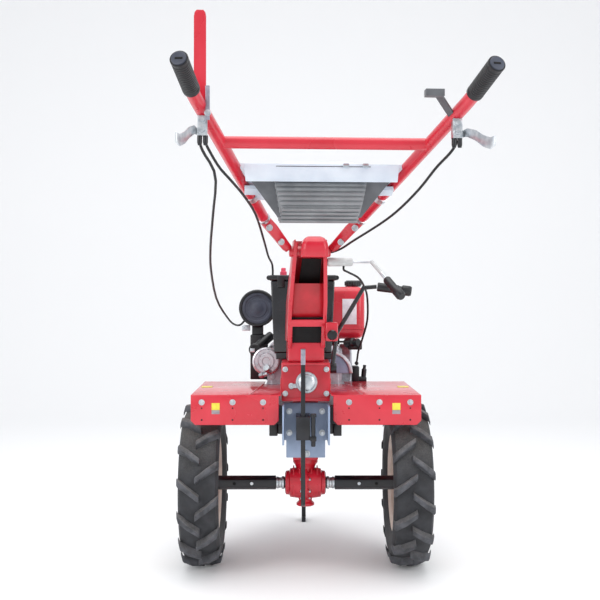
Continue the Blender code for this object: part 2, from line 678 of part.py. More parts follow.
def make_handlebar(frame):
    pivot = Vector((0, TILT_Y, TILT_Z))
    tilt = empty("tilt_axis", pivot - frame["at"], frame["empty"])
    carrier = {"empty": tilt, "at": pivot}
    make_yoke(carrier, pivot)
    cutters = []
    for side, sign in SIDES:
        points = [mirrored(p, sign) for p in (TUBE_FOOT, TUBE_HEAD, TUBE_END)]
        tube = bent_rod(points, TUBE_RADIUS, 16)
        add(f"{side}_handle_tube", tube, "red_paint", carrier, pivot, smooth=True)
        cutter = bent_rod(points, TUBE_RADIUS + GAP, 16)
        cutters.append(add(f"{side}_tube_guide", cutter, "red_paint", carrier, pivot))
        make_grip(side, sign, carrier, pivot, cutters[-1])
    left, right = tube_point(-1, CROSSBAR_SHARE), tube_point(1, CROSSBAR_SHARE)
    made = add("crossbar", rod(left, right, TUBE_RADIUS - 0.001, 16), "red_paint", carrier, pivot, smooth=True)
    for cutter in cutters:
        combine(made, cutter, "DIFFERENCE")
    make_tray(carrier, pivot, cutters)
    return carrier, cutters


def make_yoke(carrier, pivot):
    """Hub on the tilt axis with two arms that reach out to the feet of the handle tubes."""
    hub_half = 0.0387
    hub = rod(pivot - Vector((hub_half, 0, 0)), pivot + Vector((hub_half, 0, 0)), HUB_RADIUS, 24)
    made = add("handle_yoke", hub, "red_paint", carrier, pivot)
    along = (TUBE_HEAD - TUBE_FOOT).normalized()
    shoulder = Vector((0.060, -0.312, 0.930))
    stem = bar(pivot, (0, shoulder.y, shoulder.z), 0.060, 0.034)
    combine(made, add("yoke_stem_guide", stem, "red_paint", carrier, pivot), "UNION")
    for side, sign in SIDES:
        end = TUBE_FOOT - along * GAP
        arm = bar(mirrored(shoulder, sign * 0.2), mirrored(end, sign), 0.030, 0.034)
        combine(made, add(f"{side}_arm_guide", arm, "red_paint", carrier, pivot), "UNION")
        start = TUBE_FOOT - along * GAP
        clear = bar(mirrored(start, sign), mirrored(start + along * 0.05, sign), 0.08, 0.08)
        combine(made, add(f"{side}_arm_end_guide", clear, "red_paint", carrier, pivot), "DIFFERENCE")


def make_grip(side, sign, carrier, pivot, cutter):
    along = (TUBE_END - TUBE_HEAD).normalized()
    end = TUBE_END + along * 0.006
    start = end - along * GRIP_LENGTH
    grip = rod(mirrored(start, sign), mirrored(end, sign), GRIP_RADIUS, 16)
    made = add(f"{side}_grip", grip, "grip_rubber", carrier, pivot, smooth=True)
    combine(made, cutter, "DIFFERENCE")


def make_tray(carrier, pivot, cutters):
    """Tool tray between the tubes: a rim sheet with a domed lid, and a ribbed bin hung below."""
    along = (TUBE_HEAD - TUBE_FOOT).normalized()
    reach = TUBE_RADIUS * 0.9
    rear, front = tube_point(1, TRAY_REAR_SHARE), tube_point(1, TRAY_FRONT_SHARE)
    up = Vector((0, along.z, -along.y)).normalized()
    bm = bmesh.new()
    rings = []
    for offset in (-TRAY_SHEET / 2, TRAY_SHEET / 2):
        lift = up * offset
        corners = [
            Vector((-(rear.x - reach), rear.y, rear.z)), Vector((rear.x - reach, rear.y, rear.z)),
            Vector((front.x - reach, front.y, front.z)), Vector((-(front.x - reach), front.y, front.z)),
        ]
        rings.append([bm.verts.new(corner + lift) for corner in corners])
    close_rings(bm, rings)
    made = add("tool_tray", bm, "white_plastic", carrier, pivot)
    for side, sign in SIDES:
        place = tube_point(sign, 0.36)
        inner = place - Vector((sign * (reach + 0.030), 0, 0))
        outer = place - Vector((sign * (TUBE_RADIUS * 0.2), 0, 0))
        low = bar(inner - up * 0.021, outer - up * 0.021, 0.030, 0.010, up)
        combine(made, add(f"{side}_saddle_guide", low, "white_plastic", carrier, pivot), "UNION")
        post = bar(inner - up * 0.021, inner, 0.012, 0.030, (0, 1, 0))
        combine(made, add(f"{side}_saddle_post_guide", post, "white_plastic", carrier, pivot), "UNION")
    middle = rear.lerp(front, 0.5)
    dome = bmesh.new()
    rings = []
    for lift, half, depth in ((0.0, 0.108, 0.055), (0.022, 0.100, 0.048), (0.040, 0.070, 0.030)):
        centre = Vector((0, middle.y, middle.z)) + up * lift
        slope = Vector((0, up.z, -up.y))
        offsets = [Vector((a * half, 0, 0)) + slope * b * depth for a, b in ((-1, -1), (1, -1), (1, 1), (-1, 1))]
        rings.append([dome.verts.new(centre + offset) for offset in offsets])
    close_rings(dome, rings)
    combine(made, add("dome_guide", dome, "white_plastic", carrier, pivot), "UNION")
    for cutter in cutters:
        combine(made, cutter, "DIFFERENCE")

    under = bmesh.new()
    rings = []
    for drop, half, depth in ((TRAY_SHEET / 2 + GAP, 0.112, 0.062), (0.085, 0.094, 0.045)):
        centre = Vector((0, middle.y, middle.z)) - up * drop
        slope = Vector((0, up.z, -up.y))
        offsets = [Vector((a * half, 0, 0)) + slope * b * depth for a, b in ((-1, -1), (1, -1), (1, 1), (-1, 1))]
        rings.append([under.verts.new(centre + offset) for offset in offsets])
    close_rings(under, rings)
    add("tray_bin", under, "grey_plastic", carrier, pivot)


def make_hand_controls(carrier, pivot, cutters):
    """Lever brackets clamped below the tubes, the two hand levers, the clutch lever and the throttle."""
    for (side, sign), cutter in zip(SIDES, cutters):
        place = tube_point(sign, 0.90)
        low = place - Vector((0, 0, 0.052))
        seat = place - Vector((0, 0, TUBE_RADIUS * 0.75))
        body = block(low - Vector((0.010, 0.010, 0)), seat + Vector((0.010, 0.010, 0)))
        bracket = add(f"{side}_lever_bracket", body, "zinc_steel", carrier, pivot)
        combine(bracket, cutter, "DIFFERENCE")
        start = low + Vector((sign * 0.0103, 0.004, 0.010))
        outline = (start, start + Vector((sign * 0.016, -0.030, 0)), start + Vector((sign * 0.046, -0.150, 0.020)))
        blade = bmesh.new()
        rings = []
        for point, half in zip(outline, (0.007, 0.010, 0.012)):
            corners = ((0, -half), (0.005, -half), (0.005, half), (0, half))
            rings.append([blade.verts.new(point + Vector((sign * a, 0, b))) for a, b in corners])
        close_rings(blade, rings)
        add(f"{side}_hand_lever", blade, "zinc_steel", carrier, pivot)

    foot = tube_point(-1, 0.93)
    half = 0.0125
    lever = bmesh.new()
    rings = []
    for lift, lean, narrow in ((0.0, 0.0, 1.0), (0.186, 0.010, 1.0), (0.194, 0.0105, 0.87), (0.199, 0.011, 0.55)):
        centre = foot + Vector((0, lean, lift))
        a, b = half * narrow, 0.0025
        corners = ((-a, -b), (a, -b), (a, b), (-a, b))
        rings.append([lever.verts.new(centre + Vector((x, y, 0))) for x, y in corners])
    close_rings(lever, rings)
    made = add("clutch_lever", lever, "red_paint", carrier, pivot)
    combine(made, cutters[0], "DIFFERENCE")

    place = tube_point(1, 0.90)
    strip = bar(place + Vector((-TUBE_RADIUS + 0.004, 0, -0.004)), place + Vector((-0.050, -0.050, 0.030)),
                0.016, 0.004, (0, 0, 1))
    throttle = add("throttle_lever", strip, "black_paint", carrier, pivot)
    pad = block(place + Vector((-0.078, -0.068, 0.024)), place + Vector((-0.040, -0.046, 0.038)))
    combine(throttle, add("throttle_pad_guide", pad, "black_plastic", carrier, pivot), "UNION")
    combine(throttle, cutters[1], "DIFFERENCE")


def centre_on_floor(root):
    """Moves the whole machine so that the origin is the middle of its box, on the floor."""
    bpy.context.view_layer.update()
    graph = bpy.context.evaluated_depsgraph_get()
    places = []
    for obj in bpy.context.scene.objects:
        if obj.type in {"MESH", "CURVE"} and not obj.hide_render:
            shape = obj.evaluated_get(graph)
            mesh = shape.to_mesh()
            places += [obj.matrix_world @ vertex.co for vertex in mesh.vertices]
            shape.to_mesh_clear()
    for index in (0, 1):
        values = [place[index] for place in places]
        root.location[index] -= (min(values) + max(values)) / 2
    bpy.context.view_layer.update()


def build():
    root = empty("walking_tractor", (0, 0, 0))
    frame = {"empty": root, "at": Vector((0, 0, 0))}
    for side, sign in SIDES:
        make_wheel(side, sign, frame)
        make_fender(side, sign, frame)
    make_transmission(frame)
    make_hitch(frame)
    make_engine_frame(frame)
    make_front_stand(frame)
    make_engine(frame)
    make_battery(frame)
    make_shift_levers(frame)

    turn_place = Vector((0, TURN_Y, 0))
    turn = {"empty": empty("handle_turn", turn_place, root, HANDLE_TURN), "at": turn_place}
    make_column(turn)
    make_selector(turn)
    carrier, cutters = make_handlebar(turn)
    make_hand_controls(carrier, carrier["at"], cutters)
    make_cables(frame)
    centre_on_floor(root)


clear_scene()
MATERIALS = make_materials()
build()
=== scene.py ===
"""Finishes and fine detail of a two-wheeled diesel walking tractor, in metres: +Y forwards, operator at -Y."""

import json
import math

import bpy
from mathutils import Matrix, Vector


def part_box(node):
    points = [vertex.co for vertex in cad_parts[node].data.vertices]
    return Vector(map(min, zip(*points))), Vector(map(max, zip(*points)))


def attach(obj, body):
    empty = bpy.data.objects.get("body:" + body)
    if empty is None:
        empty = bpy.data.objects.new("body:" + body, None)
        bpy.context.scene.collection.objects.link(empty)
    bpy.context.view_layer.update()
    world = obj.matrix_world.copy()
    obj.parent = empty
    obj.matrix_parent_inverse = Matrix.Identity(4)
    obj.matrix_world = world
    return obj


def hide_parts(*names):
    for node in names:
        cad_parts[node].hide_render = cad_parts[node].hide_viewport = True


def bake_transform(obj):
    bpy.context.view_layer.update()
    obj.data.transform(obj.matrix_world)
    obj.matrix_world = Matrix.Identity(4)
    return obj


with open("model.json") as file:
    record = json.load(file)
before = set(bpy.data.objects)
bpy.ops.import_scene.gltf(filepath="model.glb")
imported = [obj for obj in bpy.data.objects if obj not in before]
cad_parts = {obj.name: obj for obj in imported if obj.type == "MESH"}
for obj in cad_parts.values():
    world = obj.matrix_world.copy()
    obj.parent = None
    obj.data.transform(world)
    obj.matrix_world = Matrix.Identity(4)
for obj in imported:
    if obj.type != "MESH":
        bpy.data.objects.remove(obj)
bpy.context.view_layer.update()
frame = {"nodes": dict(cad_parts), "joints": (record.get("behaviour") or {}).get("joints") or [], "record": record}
nodes = frame["nodes"]
joints = {joint["name"]: joint for joint in frame["joints"]}
body_of = {node: body for body, names in frame["record"]["behaviour"]["bodies"].items() for node in names}
axle_left = Vector(joints["left_wheel_roll"]["pos_m"])
axle_right = Vector(joints["right_wheel_roll"]["pos_m"])
middle = (axle_left + axle_right) / 2
SIDES = (("left", -1), ("right", 1))


def at(x, y, z):
    """A place given from the middle of the axle line: x to the right, y forwards, z above the floor."""
    return Vector((middle.x + x, middle.y + y, z))


# --- Tyres ---------------------------------------------------------------------------------------
# Tractor tyres of moulded rubber: a smooth carcass with two staggered rows of deep slanted bars.
# The carcass is one outline turned round the axle; one bar is modelled and copied round it.

LUG_HEIGHT = 0.021
LUGS_PER_ROW = 14
LUG_SLANT = math.radians(38)


def linear(code):
    """sRGB hex such as c8102e as a linear RGBA colour."""
    parts = [int(code[i : i + 2], 16) / 255 for i in (0, 2, 4)]
    return (*[p / 12.92 if p <= 0.04045 else ((p + 0.055) / 1.055) ** 2.4 for p in parts], 1)


def put(tree, kind, settings=None, **inputs):
    """Adds a node; an input is named by its label, or by i and its number, and takes a value or a socket."""
    made = tree.nodes.new(kind)
    for key, value in (settings or {}).items():
        setattr(made, key, value)
    for key, value in inputs.items():
        by_number = key[0] == "i" and key[1:].isdigit()
        socket = made.inputs[int(key[1:]) if by_number else key.replace("_", " ")]
        if isinstance(value, bpy.types.NodeSocket):
            tree.links.new(value, socket)
        else:
            socket.default_value = value
    return made


def surface(name, low, high, patch_mm, rough, grain_mm, grain_depth_mm, metallic=0.0, coat=0.0, dust=None):
    """A material whose colour wanders between two hex colours over patches, with a fine grain in relief.

    Dust, if given, is a hex colour that settles on faces that look upwards.
    """
    made = bpy.data.materials.new(name)
    made.use_nodes = True
    tree = made.node_tree
    shader = tree.nodes["Principled BSDF"]
    place = put(tree, "ShaderNodeTexCoord").outputs["Object"]
    patches = put(tree, "ShaderNodeTexNoise", Vector=place, Scale=1000 / patch_mm, Detail=5.0)
    spots = put(tree, "ShaderNodeMapRange", Value=patches.outputs["Fac"], From_Min=0.35, From_Max=0.65)
    mix = put(tree, "ShaderNodeMix", {"data_type": "RGBA"}, i0=spots.outputs[0], i6=linear(low), i7=linear(high))
    colour = mix.outputs[2]
    if dust:
        normal = put(tree, "ShaderNodeNewGeometry").outputs["Normal"]
        upward = put(tree, "ShaderNodeSeparateXYZ", Vector=normal).outputs["Z"]
        specks = put(tree, "ShaderNodeTexNoise", Vector=place, Scale=260.0, Detail=3.0).outputs["Fac"]
        share = put(tree, "ShaderNodeMath", {"operation": "MULTIPLY"}, i0=upward, i1=specks)
        share = put(tree, "ShaderNodeMapRange", Value=share.outputs[0], From_Min=0.1, From_Max=0.9, To_Max=0.5)
        dusty = put(tree, "ShaderNodeMix", {"data_type": "RGBA"}, i0=share.outputs[0], i6=colour, i7=linear(dust))
        colour = dusty.outputs[2]
    tree.links.new(colour, shader.inputs["Base Color"])
    spread = put(tree, "ShaderNodeMapRange", Value=patches.outputs["Fac"], From_Min=0.3, From_Max=0.7,
                 To_Min=rough - 0.06, To_Max=rough + 0.06)
    tree.links.new(spread.outputs[0], shader.inputs["Roughness"])
    grain = put(tree, "ShaderNodeTexNoise", Vector=place, Scale=1000 / grain_mm, Detail=2.0)
    relief = put(tree, "ShaderNodeBump", Height=grain.outputs["Fac"], Distance=grain_depth_mm / 1000, Strength=0.6)
    tree.links.new(relief.outputs["Normal"], shader.inputs["Normal"])
    shader.inputs["Metallic"].default_value = metallic
    shader.inputs["Coat Weight"].default_value = coat
    shader.inputs["Coat Roughness"].default_value = 0.12
    return made


def alone(piece):
    """Selects this piece only."""
    bpy.ops.object.select_all(action="DESELECT")
    piece.select_set(True)
    bpy.context.view_layer.objects.active = piece
    return piece


def drawn(name, points, edges=(), faces=(), finish=None):
    """A new mesh object from drawn points, alone selected."""
    mesh = bpy.data.meshes.new(name)
    mesh.from_pydata([tuple(p) for p in points], edges, faces)
    made = bpy.data.objects.new(name, mesh)
    bpy.context.scene.collection.objects.link(made)
    if finish:
        made.data.materials.append(finish)
    return alone(made)


def edit(*steps):
    """Runs edit-mode operators, given as (operator, settings), on the active object with all of it selected."""
    bpy.ops.object.mode_set(mode="EDIT")
    bpy.ops.mesh.select_all(action="SELECT")
    for operator, settings in steps:
        operator(**settings)
    bpy.ops.object.mode_set(mode="OBJECT")


def outwards():
    return (bpy.ops.mesh.normals_make_consistent, {"inside": False})


def turned(name, profile, centre, axis, steps, finish, closed=False, angle=32):
    """Turns (along, radius) points round an axis; an open profile is closed at its ends by discs."""
    axis = Vector(axis).normalized()
    side = axis.orthogonal().normalized()
    points = [Vector(centre) + axis * along + side * radius for along, radius in profile]
    edges = [(i, i + 1) for i in range(len(points) - 1)]
    if closed:
        edges.append((len(points) - 1, 0))
    made = drawn(name, points, edges, (), finish)
    edit(
        (bpy.ops.mesh.spin, {"steps": steps, "angle": math.tau, "center": tuple(centre), "axis": tuple(axis)}),
        (bpy.ops.mesh.select_all, {"action": "SELECT"}),
        (bpy.ops.mesh.remove_doubles, {"threshold": 0.00002}),
        (bpy.ops.mesh.fill_holes, {"sides": 0}),
        outwards(),
    )
    bpy.ops.object.shade_smooth_by_angle(angle=math.radians(angle))
    return made


def joined(name, pieces):
    """Joins pieces into one; each keeps its own finish."""
    alone(pieces[0])
    for piece in pieces:
        piece.select_set(True)
    bpy.ops.object.join()
    pieces[0].name = name
    return pieces[0]


def bevelled(piece, width, segments=2, angle=30):
    alone(piece)
    step = piece.modifiers.new("edges", "BEVEL")
    step.width = width
    step.segments = segments
    step.limit_method = "ANGLE"
    step.angle_limit = math.radians(angle)
    bpy.ops.object.modifier_apply(modifier=step.name)
    bpy.ops.object.shade_smooth_by_angle(angle=math.radians(40))
    return piece


def copied(piece, matrix):
    other = bpy.data.objects.new(piece.name, piece.data.copy())
    other.data.transform(matrix)
    bpy.context.scene.collection.objects.link(other)
    return other


def stands_for(piece, node):
    """The piece takes the place and the body of a CAD node, and the node is hidden."""
    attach(piece, body_of[node])
    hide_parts(node)
    return piece


def rides(piece, body):
    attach(piece, body)
    return piece


# Moulded tyre rubber: near black, with pale dust on what looks upwards.
tyre_rubber = surface("tyre_rubber", "242528", "37383c", 30, 0.74, 1.6, 0.4, dust="8c8780")
lug_rubber = surface("worn_tyre_rubber", "37383c", "55565b", 22, 0.78, 1.6, 0.4, dust="a29c94")


def make_lug(name, radius, half):
    """One bar: wide at its foot on the carcass, narrower on top, from past the middle out over the shoulder."""
    foot = radius - LUG_HEIGHT - 0.006
    stations = (  # across the tyre, top radius, half width of the top
        (-0.006, radius - 0.001, 0.0075),
        (half * 0.45, radius - 0.0015, 0.0085),
        (half * 0.90, radius - 0.010, 0.0100),
        (half * 1.00, radius - 0.030, 0.0105),
    )
    points = []
    for across, top, width in stations:
        lean = across * math.tan(LUG_SLANT)
        low = min(foot, top - 0.010)
        for height, spread in ((low, width + 0.005), (top, width)):
            for sign in (-1, 1):
                angle = (lean + sign * spread) / radius
                points.append((across, height * math.sin(angle), height * math.cos(angle)))
    faces = [(0, 1, 3, 2)]
    last = 4 * (len(stations) - 1)
    for i in range(0, last, 4):
        faces += [(i, i + 2, i + 6, i + 4), (i + 2, i + 3, i + 7, i + 6), (i + 3, i + 1, i + 5, i + 7),
                  (i + 1, i, i + 4, i + 5)]
    faces.append((last, last + 2, last + 3, last + 1))
    lug = drawn(name, points, (), faces, lug_rubber)
    edit(outwards())
    return bevelled(lug, 0.0025)


def make_tyre(side, sign):
    low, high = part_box(f"{side}_tyre")
    rim_low, rim_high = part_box(f"{side}_rim")
    centre = (low + high) / 2
    radius = (high.z - low.z) / 2
    half = (high.x - low.x) / 2
    bead = (rim_high.z - rim_low.z) / 2
    body = radius - LUG_HEIGHT
    wall = [(0.70, bead - 0.004), (0.80, bead + 0.006), (0.90, bead + 0.018), (0.93, bead + 0.022),
            (0.93, bead + 0.026), (0.97, body * 0.83), (0.95, body * 0.90), (0.84, body * 0.965),
            (0.55, body * 0.992), (0.0, body)]
    profile = [(-half * across, reach) for across, reach in wall]
    profile += [(half * across, reach) for across, reach in reversed(wall[:-1])]
    pieces = [turned(f"{side}_carcass", profile, centre, (1, 0, 0), 96, tyre_rubber, closed=True)]
    for row in (0, 1):
        lug = make_lug(f"{side}_lug", radius, half)
        if row:
            lug.data.transform(Matrix.Scale(-1, 4, (1, 0, 0)))
            alone(lug)
            edit(outwards())
        if sign > 0:
            lug.data.transform(Matrix.Rotation(math.pi, 4, "Z"))
        for k in range(LUGS_PER_ROW):
            turn = Matrix.Rotation((k + row / 2) * math.tau / LUGS_PER_ROW, 4, "X")
            pieces.append(copied(lug, Matrix.Translation(centre) @ turn))
        bpy.data.objects.remove(lug)
    stands_for(joined(f"{side}_tyre_rubber", pieces), f"{side}_tyre")


for side, sign in SIDES:
    make_tyre(side, sign)

# --- Rims ------------------------------------------------------------------------------------------
# Pressed steel disc rims, sprayed cream: curled lips, a drop centre, and a dished disc bolted to the
# axle's flange by five bolts. The outline is turned round the axle.

BOLT_CIRCLE = 0.034

# Sprayed paint on pressed steel: pale, a little pink, chalky.
cream_paint = surface("cream_spray_paint", "d2bfb2", "e4d6ca", 40, 0.50, 0.8, 0.05)
# Zinc-plated steel: bright, slightly blue, faintly clouded.
zinc_steel = surface("zinc_plated_steel", "b9c0c6", "d8dcdf", 12, 0.34, 0.5, 0.03, metallic=1.0)


def bolt(name, place, axis, flats, finish=zinc_steel, washer=True):
    """Hexagon head with a chamfered top, on a washer; the place is on the seat, the axis points outwards."""
    corner = flats / 2 / math.cos(math.pi / 6)
    head = turned(name, [(0.0, corner), (flats * 0.55, corner), (flats * 0.65, corner * 0.82)], place, axis, 6,
                  finish, angle=20)
    if not washer:
        return head
    ring = turned(name, [(0.0, flats * 0.86), (flats * 0.12, flats * 0.86), (flats * 0.16, flats * 0.80)], place,
                  axis, 20, finish)
    return joined(name, [head, ring])


for side, sign in SIDES:
    low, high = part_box(f"{side}_rim")
    centre = (low + high) / 2
    reach = (high.z - low.z) / 2
    half = (high.x - low.x) / 2
    disc = 0.012 * sign
    sheet = 0.003
    outer = [(-half, reach - 0.001), (-half * 0.97, reach), (-half * 0.86, reach - 0.001), (-half * 0.80, reach - 0.008),
             (-half * 0.42, reach - 0.012), (-half * 0.30, reach - 0.024), (half * 0.30, reach - 0.024),
             (half * 0.42, reach - 0.012), (half * 0.80, reach - 0.008), (half * 0.86, reach - 0.001),
             (half * 0.97, reach), (half, reach - 0.001)]
    inner = [(half * 0.96, reach - 0.004), (half * 0.80, reach - 0.012), (half * 0.42, reach - 0.015),
             (disc + sheet + 0.004, reach - 0.028), (disc + sheet, reach - 0.040), (disc + sheet + 0.006, 0.075),
             (disc + sheet, 0.060), (disc + sheet, 0.022), (disc - sheet, 0.022), (disc - sheet, 0.060),
             (disc - sheet + 0.006, 0.075), (disc - sheet, reach - 0.040), (disc - sheet - 0.004, reach - 0.028),
             (-half * 0.42, reach - 0.015), (-half * 0.80, reach - 0.012), (-half * 0.96, reach - 0.004)]
    rim = turned(f"{side}_rim_dish", outer + inner, centre, (1, 0, 0), 72, cream_paint, closed=True)
    stands_for(rim, f"{side}_rim")
    bolts = []
    for k in range(5):
        angle = math.tau * k / 5
        place = centre + Vector((disc + sign * sheet, BOLT_CIRCLE * math.sin(angle), BOLT_CIRCLE * math.cos(angle)))
        bolts.append(bolt(f"{side}_wheel_bolt", place, (sign, 0, 0), 0.014))
    rides(joined(f"{side}_wheel_bolts", bolts), f"{side}_wheel")
    valve = turned(f"{side}_valve", [(0, 0.004), (0.012, 0.0045), (0.022, 0.0035), (0.030, 0.0035)],
                   centre + Vector((disc, 0, reach - 0.032)), (sign, 0, -0.5), 12, tyre_rubber)
    rides(valve, f"{side}_wheel")

# --- Axles -----------------------------------------------------------------------------------------
# Black hexagonal tubes with cross holes for the tools' pins, on bare round stubs that leave the final
# drive through a rubber seal.

STUB_IN, STUB_OUT = 0.058, 0.084

# Satin black paint on rolled steel: dark blue-black with a soft sheen.
black_paint = surface("satin_black_paint", "0b0c10", "161820", 35, 0.40, 0.7, 0.06, coat=0.15)
# Painted shade: near-black pieces laid on where holes, slots, vents, gaps, seams and openings are, standing for their
# dark insides, from which nearly no light comes back.
painted_hollow_shade = surface("shaded_hollow", "050506", "0a0a0c", 20, 0.85, 1.0, 0.02)


def refined(node, width, finish, segments=2, angle=30):
    """A copy of a CAD node with its triangles merged and its edges rounded, in the node's place."""
    made = drawn(f"{node}_shape", [], (), (), finish)
    made.data = nodes[node].data.copy()
    made.data.materials.clear()
    made.data.materials.append(finish)
    edit(
        (bpy.ops.mesh.remove_doubles, {"threshold": 0.00002}),
        (bpy.ops.mesh.dissolve_limited, {"angle_limit": math.radians(1)}),
    )
    bevelled(made, width, segments, angle)
    return stands_for(made, node)


for side, sign in SIDES:
    refined(f"{side}_axle", 0.0012, black_paint)
    z = middle.z
    extras = []
    # The outer cross holes are dark discs of painted shade; the inner ones are plated.
    for reach in (0.155, 0.205, 0.262):
        for face in (-1, 1):
            place = at(sign * reach, face * 0.0181, z)
            extras.append(turned(f"{side}_hole", [(0.0, 0.0048), (0.0006, 0.0042)], place, (0, face, 0), 16,
                                 zinc_steel if reach == 0.155 else painted_hollow_shade))
    rides(joined(f"{side}_axle_holes", extras), f"{side}_wheel")
    sleeve = turned(f"{side}_stub_sleeve", [(0.0, 0.0150), (0.003, 0.0185), (0.009, 0.0185), (0.011, 0.0152),
                                            (0.016, 0.0152), (0.019, 0.0172), (0.0245, 0.0172)],
                    at(sign * (STUB_IN + 0.0012), 0, z), (sign, 0, 0), 24, zinc_steel)
    rides(sleeve, f"{side}_wheel")

# --- Final drive -----------------------------------------------------------------------------------
# An iron casting under gloss red paint: a round case for the last gear pair with a bolted flange
# round its middle, a neck up to the gearbox and a short foot below.

# Gloss red enamel over iron: strong colour under a clear shiny skin with slight orange peel.
red_casting = surface("red_enamel_on_castings", "b51024", "c81d32", 45, 0.36, 1.8, 0.10, coat=0.35)
# The same enamel on pressed sheet, smoother, and painted a lighter red than on the castings all over: a painted
# highlight that stands in for the glare on the sheet parts.
red_sheet_painted_glare = surface("red_enamel_on_sheet_painted_glare", "c4182c", "d12438", 90, 0.30, 1.6, 0.03, coat=0.45)
# Black rubber seal: dull.
seal_rubber = surface("moulded_seal_rubber", "17171a", "202024", 15, 0.7, 0.8, 0.05)

z = middle.z
case = [turned("drive_case", [(-0.058, 0.030), (-0.056, 0.034), (-0.047, 0.035), (-0.044, 0.041), (-0.024, 0.044),
                              (0.024, 0.044), (0.044, 0.041), (0.047, 0.035), (0.056, 0.034), (0.058, 0.030)],
               at(0, 0, z), (1, 0, 0), 48, red_casting)]
case.append(turned("drive_flange", [(-0.006, 0.049), (-0.005, 0.051), (0.005, 0.051), (0.006, 0.049)],
                   at(0, 0, z), (1, 0, 0), 48, red_casting))
case.append(turned("drive_neck", [(-0.066, 0.022), (-0.064, 0.026), (-0.058, 0.026), (-0.052, 0.019), (0.0, 0.026),
                                  (0.040, 0.026), (0.052, 0.030), (0.060, 0.036), (0.0715, 0.036)],
                   at(0, 0, z), (0, 0, 1), 48, red_casting))
for k in range(8):
    angle = math.tau * (k + 0.5) / 8
    boss = at(0, 0.0445 * math.sin(angle), z + 0.0445 * math.cos(angle))
    case.append(turned("drive_boss", [(-0.010, 0.0062), (-0.009, 0.0068), (0.009, 0.0068), (0.010, 0.0062)],
                       boss, (1, 0, 0), 16, red_casting))
for x in (-0.034, -0.017, 0.017, 0.034):
    rib = drawn("drive_rib", [at(x - 0.002, -0.038, z + 0.012), at(x - 0.002, -0.044, z), at(x - 0.002, -0.038, z - 0.028),
                              at(x - 0.002, 0, z - 0.028), at(x - 0.002, 0, z + 0.050),
                              at(x - 0.002, -0.026, z + 0.046)], (), [(0, 1, 2, 3, 4, 5)], red_casting)
    edit((bpy.ops.mesh.extrude_region_move, {"TRANSFORM_OT_translate": {"value": (0.004, 0, 0)}}),
         (bpy.ops.mesh.select_all, {"action": "SELECT"}), outwards())
    case.append(bevelled(rib, 0.001))
stands_for(joined("final_drive_casting", case), "final_drive_case")
screws = []
for k in range(8):
    angle = math.tau * (k + 0.5) / 8
    for face in (-1, 1):
        place = at(face * 0.010, 0.0445 * math.sin(angle), z + 0.0445 * math.cos(angle))
        screws.append(bolt("drive_screw", place, (face, 0, 0), 0.008, washer=False))
rides(joined("drive_screws", screws), "chassis")
for side, sign in SIDES:
    seal = turned(f"{side}_drive_seal", [(-0.002, 0.029), (0.0008, 0.029), (0.0010, 0.026)],
                  at(sign * 0.058, 0, z), (sign, 0, 0), 32, seal_rubber)
    rides(seal, "chassis")

# --- Gearbox ---------------------------------------------------------------------------------------
# A box casting in the same red, with a flange round its foot, cover screws, and on its rear face the
# round zinc cover of the power take-off with one fixing ear.

refined("gearbox_case", 0.005, red_casting, segments=3)


def slab(name, low, high, finish, bevel=0.0015):
    """A small box with rounded edges, between two corners."""
    low, high = Vector(low), Vector(high)
    bpy.ops.object.select_all(action="DESELECT")
    bpy.ops.mesh.primitive_cube_add(size=1, location=(0, 0, 0))
    made = bpy.context.active_object
    made.name = name
    made.data.transform(Matrix.Translation((low + high) / 2) @ Matrix.Diagonal((*(high - low), 1)))
    made.data.materials.append(finish)
    return bevelled(made, bevel)


flange = slab("gearbox_foot_flange", at(-0.0655, -0.1325, 0.4855), at(0.0655, -0.1295, 0.4945), red_sheet_painted_glare, 0.001)
ledge = slab("gearbox_top_ledge", at(-0.066, -0.1330, 0.5860), at(0.066, -0.1290, 0.5925), red_sheet_painted_glare, 0.001)
rides(joined("gearbox_ledges", [flange, ledge]), "chassis")
cover = turned("pto_dome", [(0.0003, 0.030), (0.006, 0.030), (0.0075, 0.0285), (0.0075, 0.024), (0.011, 0.022),
                            (0.0135, 0.017), (0.0145, 0.010), (0.0145, 0.0)],
               at(0.002, -0.130, 0.538), (0, -1, 0), 40, zinc_steel)
ear = turned("pto_ear", [(0.0005, 0.0085), (0.005, 0.0085), (0.006, 0.0075)], at(-0.040, -0.130, 0.528), (0, -1, 0), 20,
             zinc_steel)
arm = slab("pto_arm", at(-0.042, -0.135, 0.5225), at(-0.020, -0.1305, 0.5345), zinc_steel)
stands_for(joined("pto_cover_cast", [cover, ear, arm]), "pto_cover")
screws = [bolt("gearbox_screw", at(x, -0.1303, z), (0, -1, 0), 0.009)
          for x, z in ((-0.057, 0.574), (0.057, 0.574), (-0.057, 0.507), (0.057, 0.507))]
screws.append(bolt("pto_screw", at(-0.040, -0.136, 0.528), (0, -1, 0), 0.007, washer=False))
rides(joined("gearbox_screws", screws), "chassis")

# --- Hitch and depth stake -------------------------------------------------------------------------
# A folded steel channel in grey-blue machine paint, open to the rear, with a black square sleeve that
# guides the flat stake and a pin beside it. The stake's top is bare where the sleeve has rubbed it.

# Grey-blue machine paint: matt and even.
hitch_paint = surface("grey_blue_machine_paint", "8798b3", "9aabc5", 50, 0.45, 1.0, 0.05)
# Bare rolled steel bar: mid grey, dull, streaked.
bare_steel = surface("bare_rolled_steel", "8f8f9c", "a9a8b4", 10, 0.45, 0.6, 0.05, metallic=0.7)

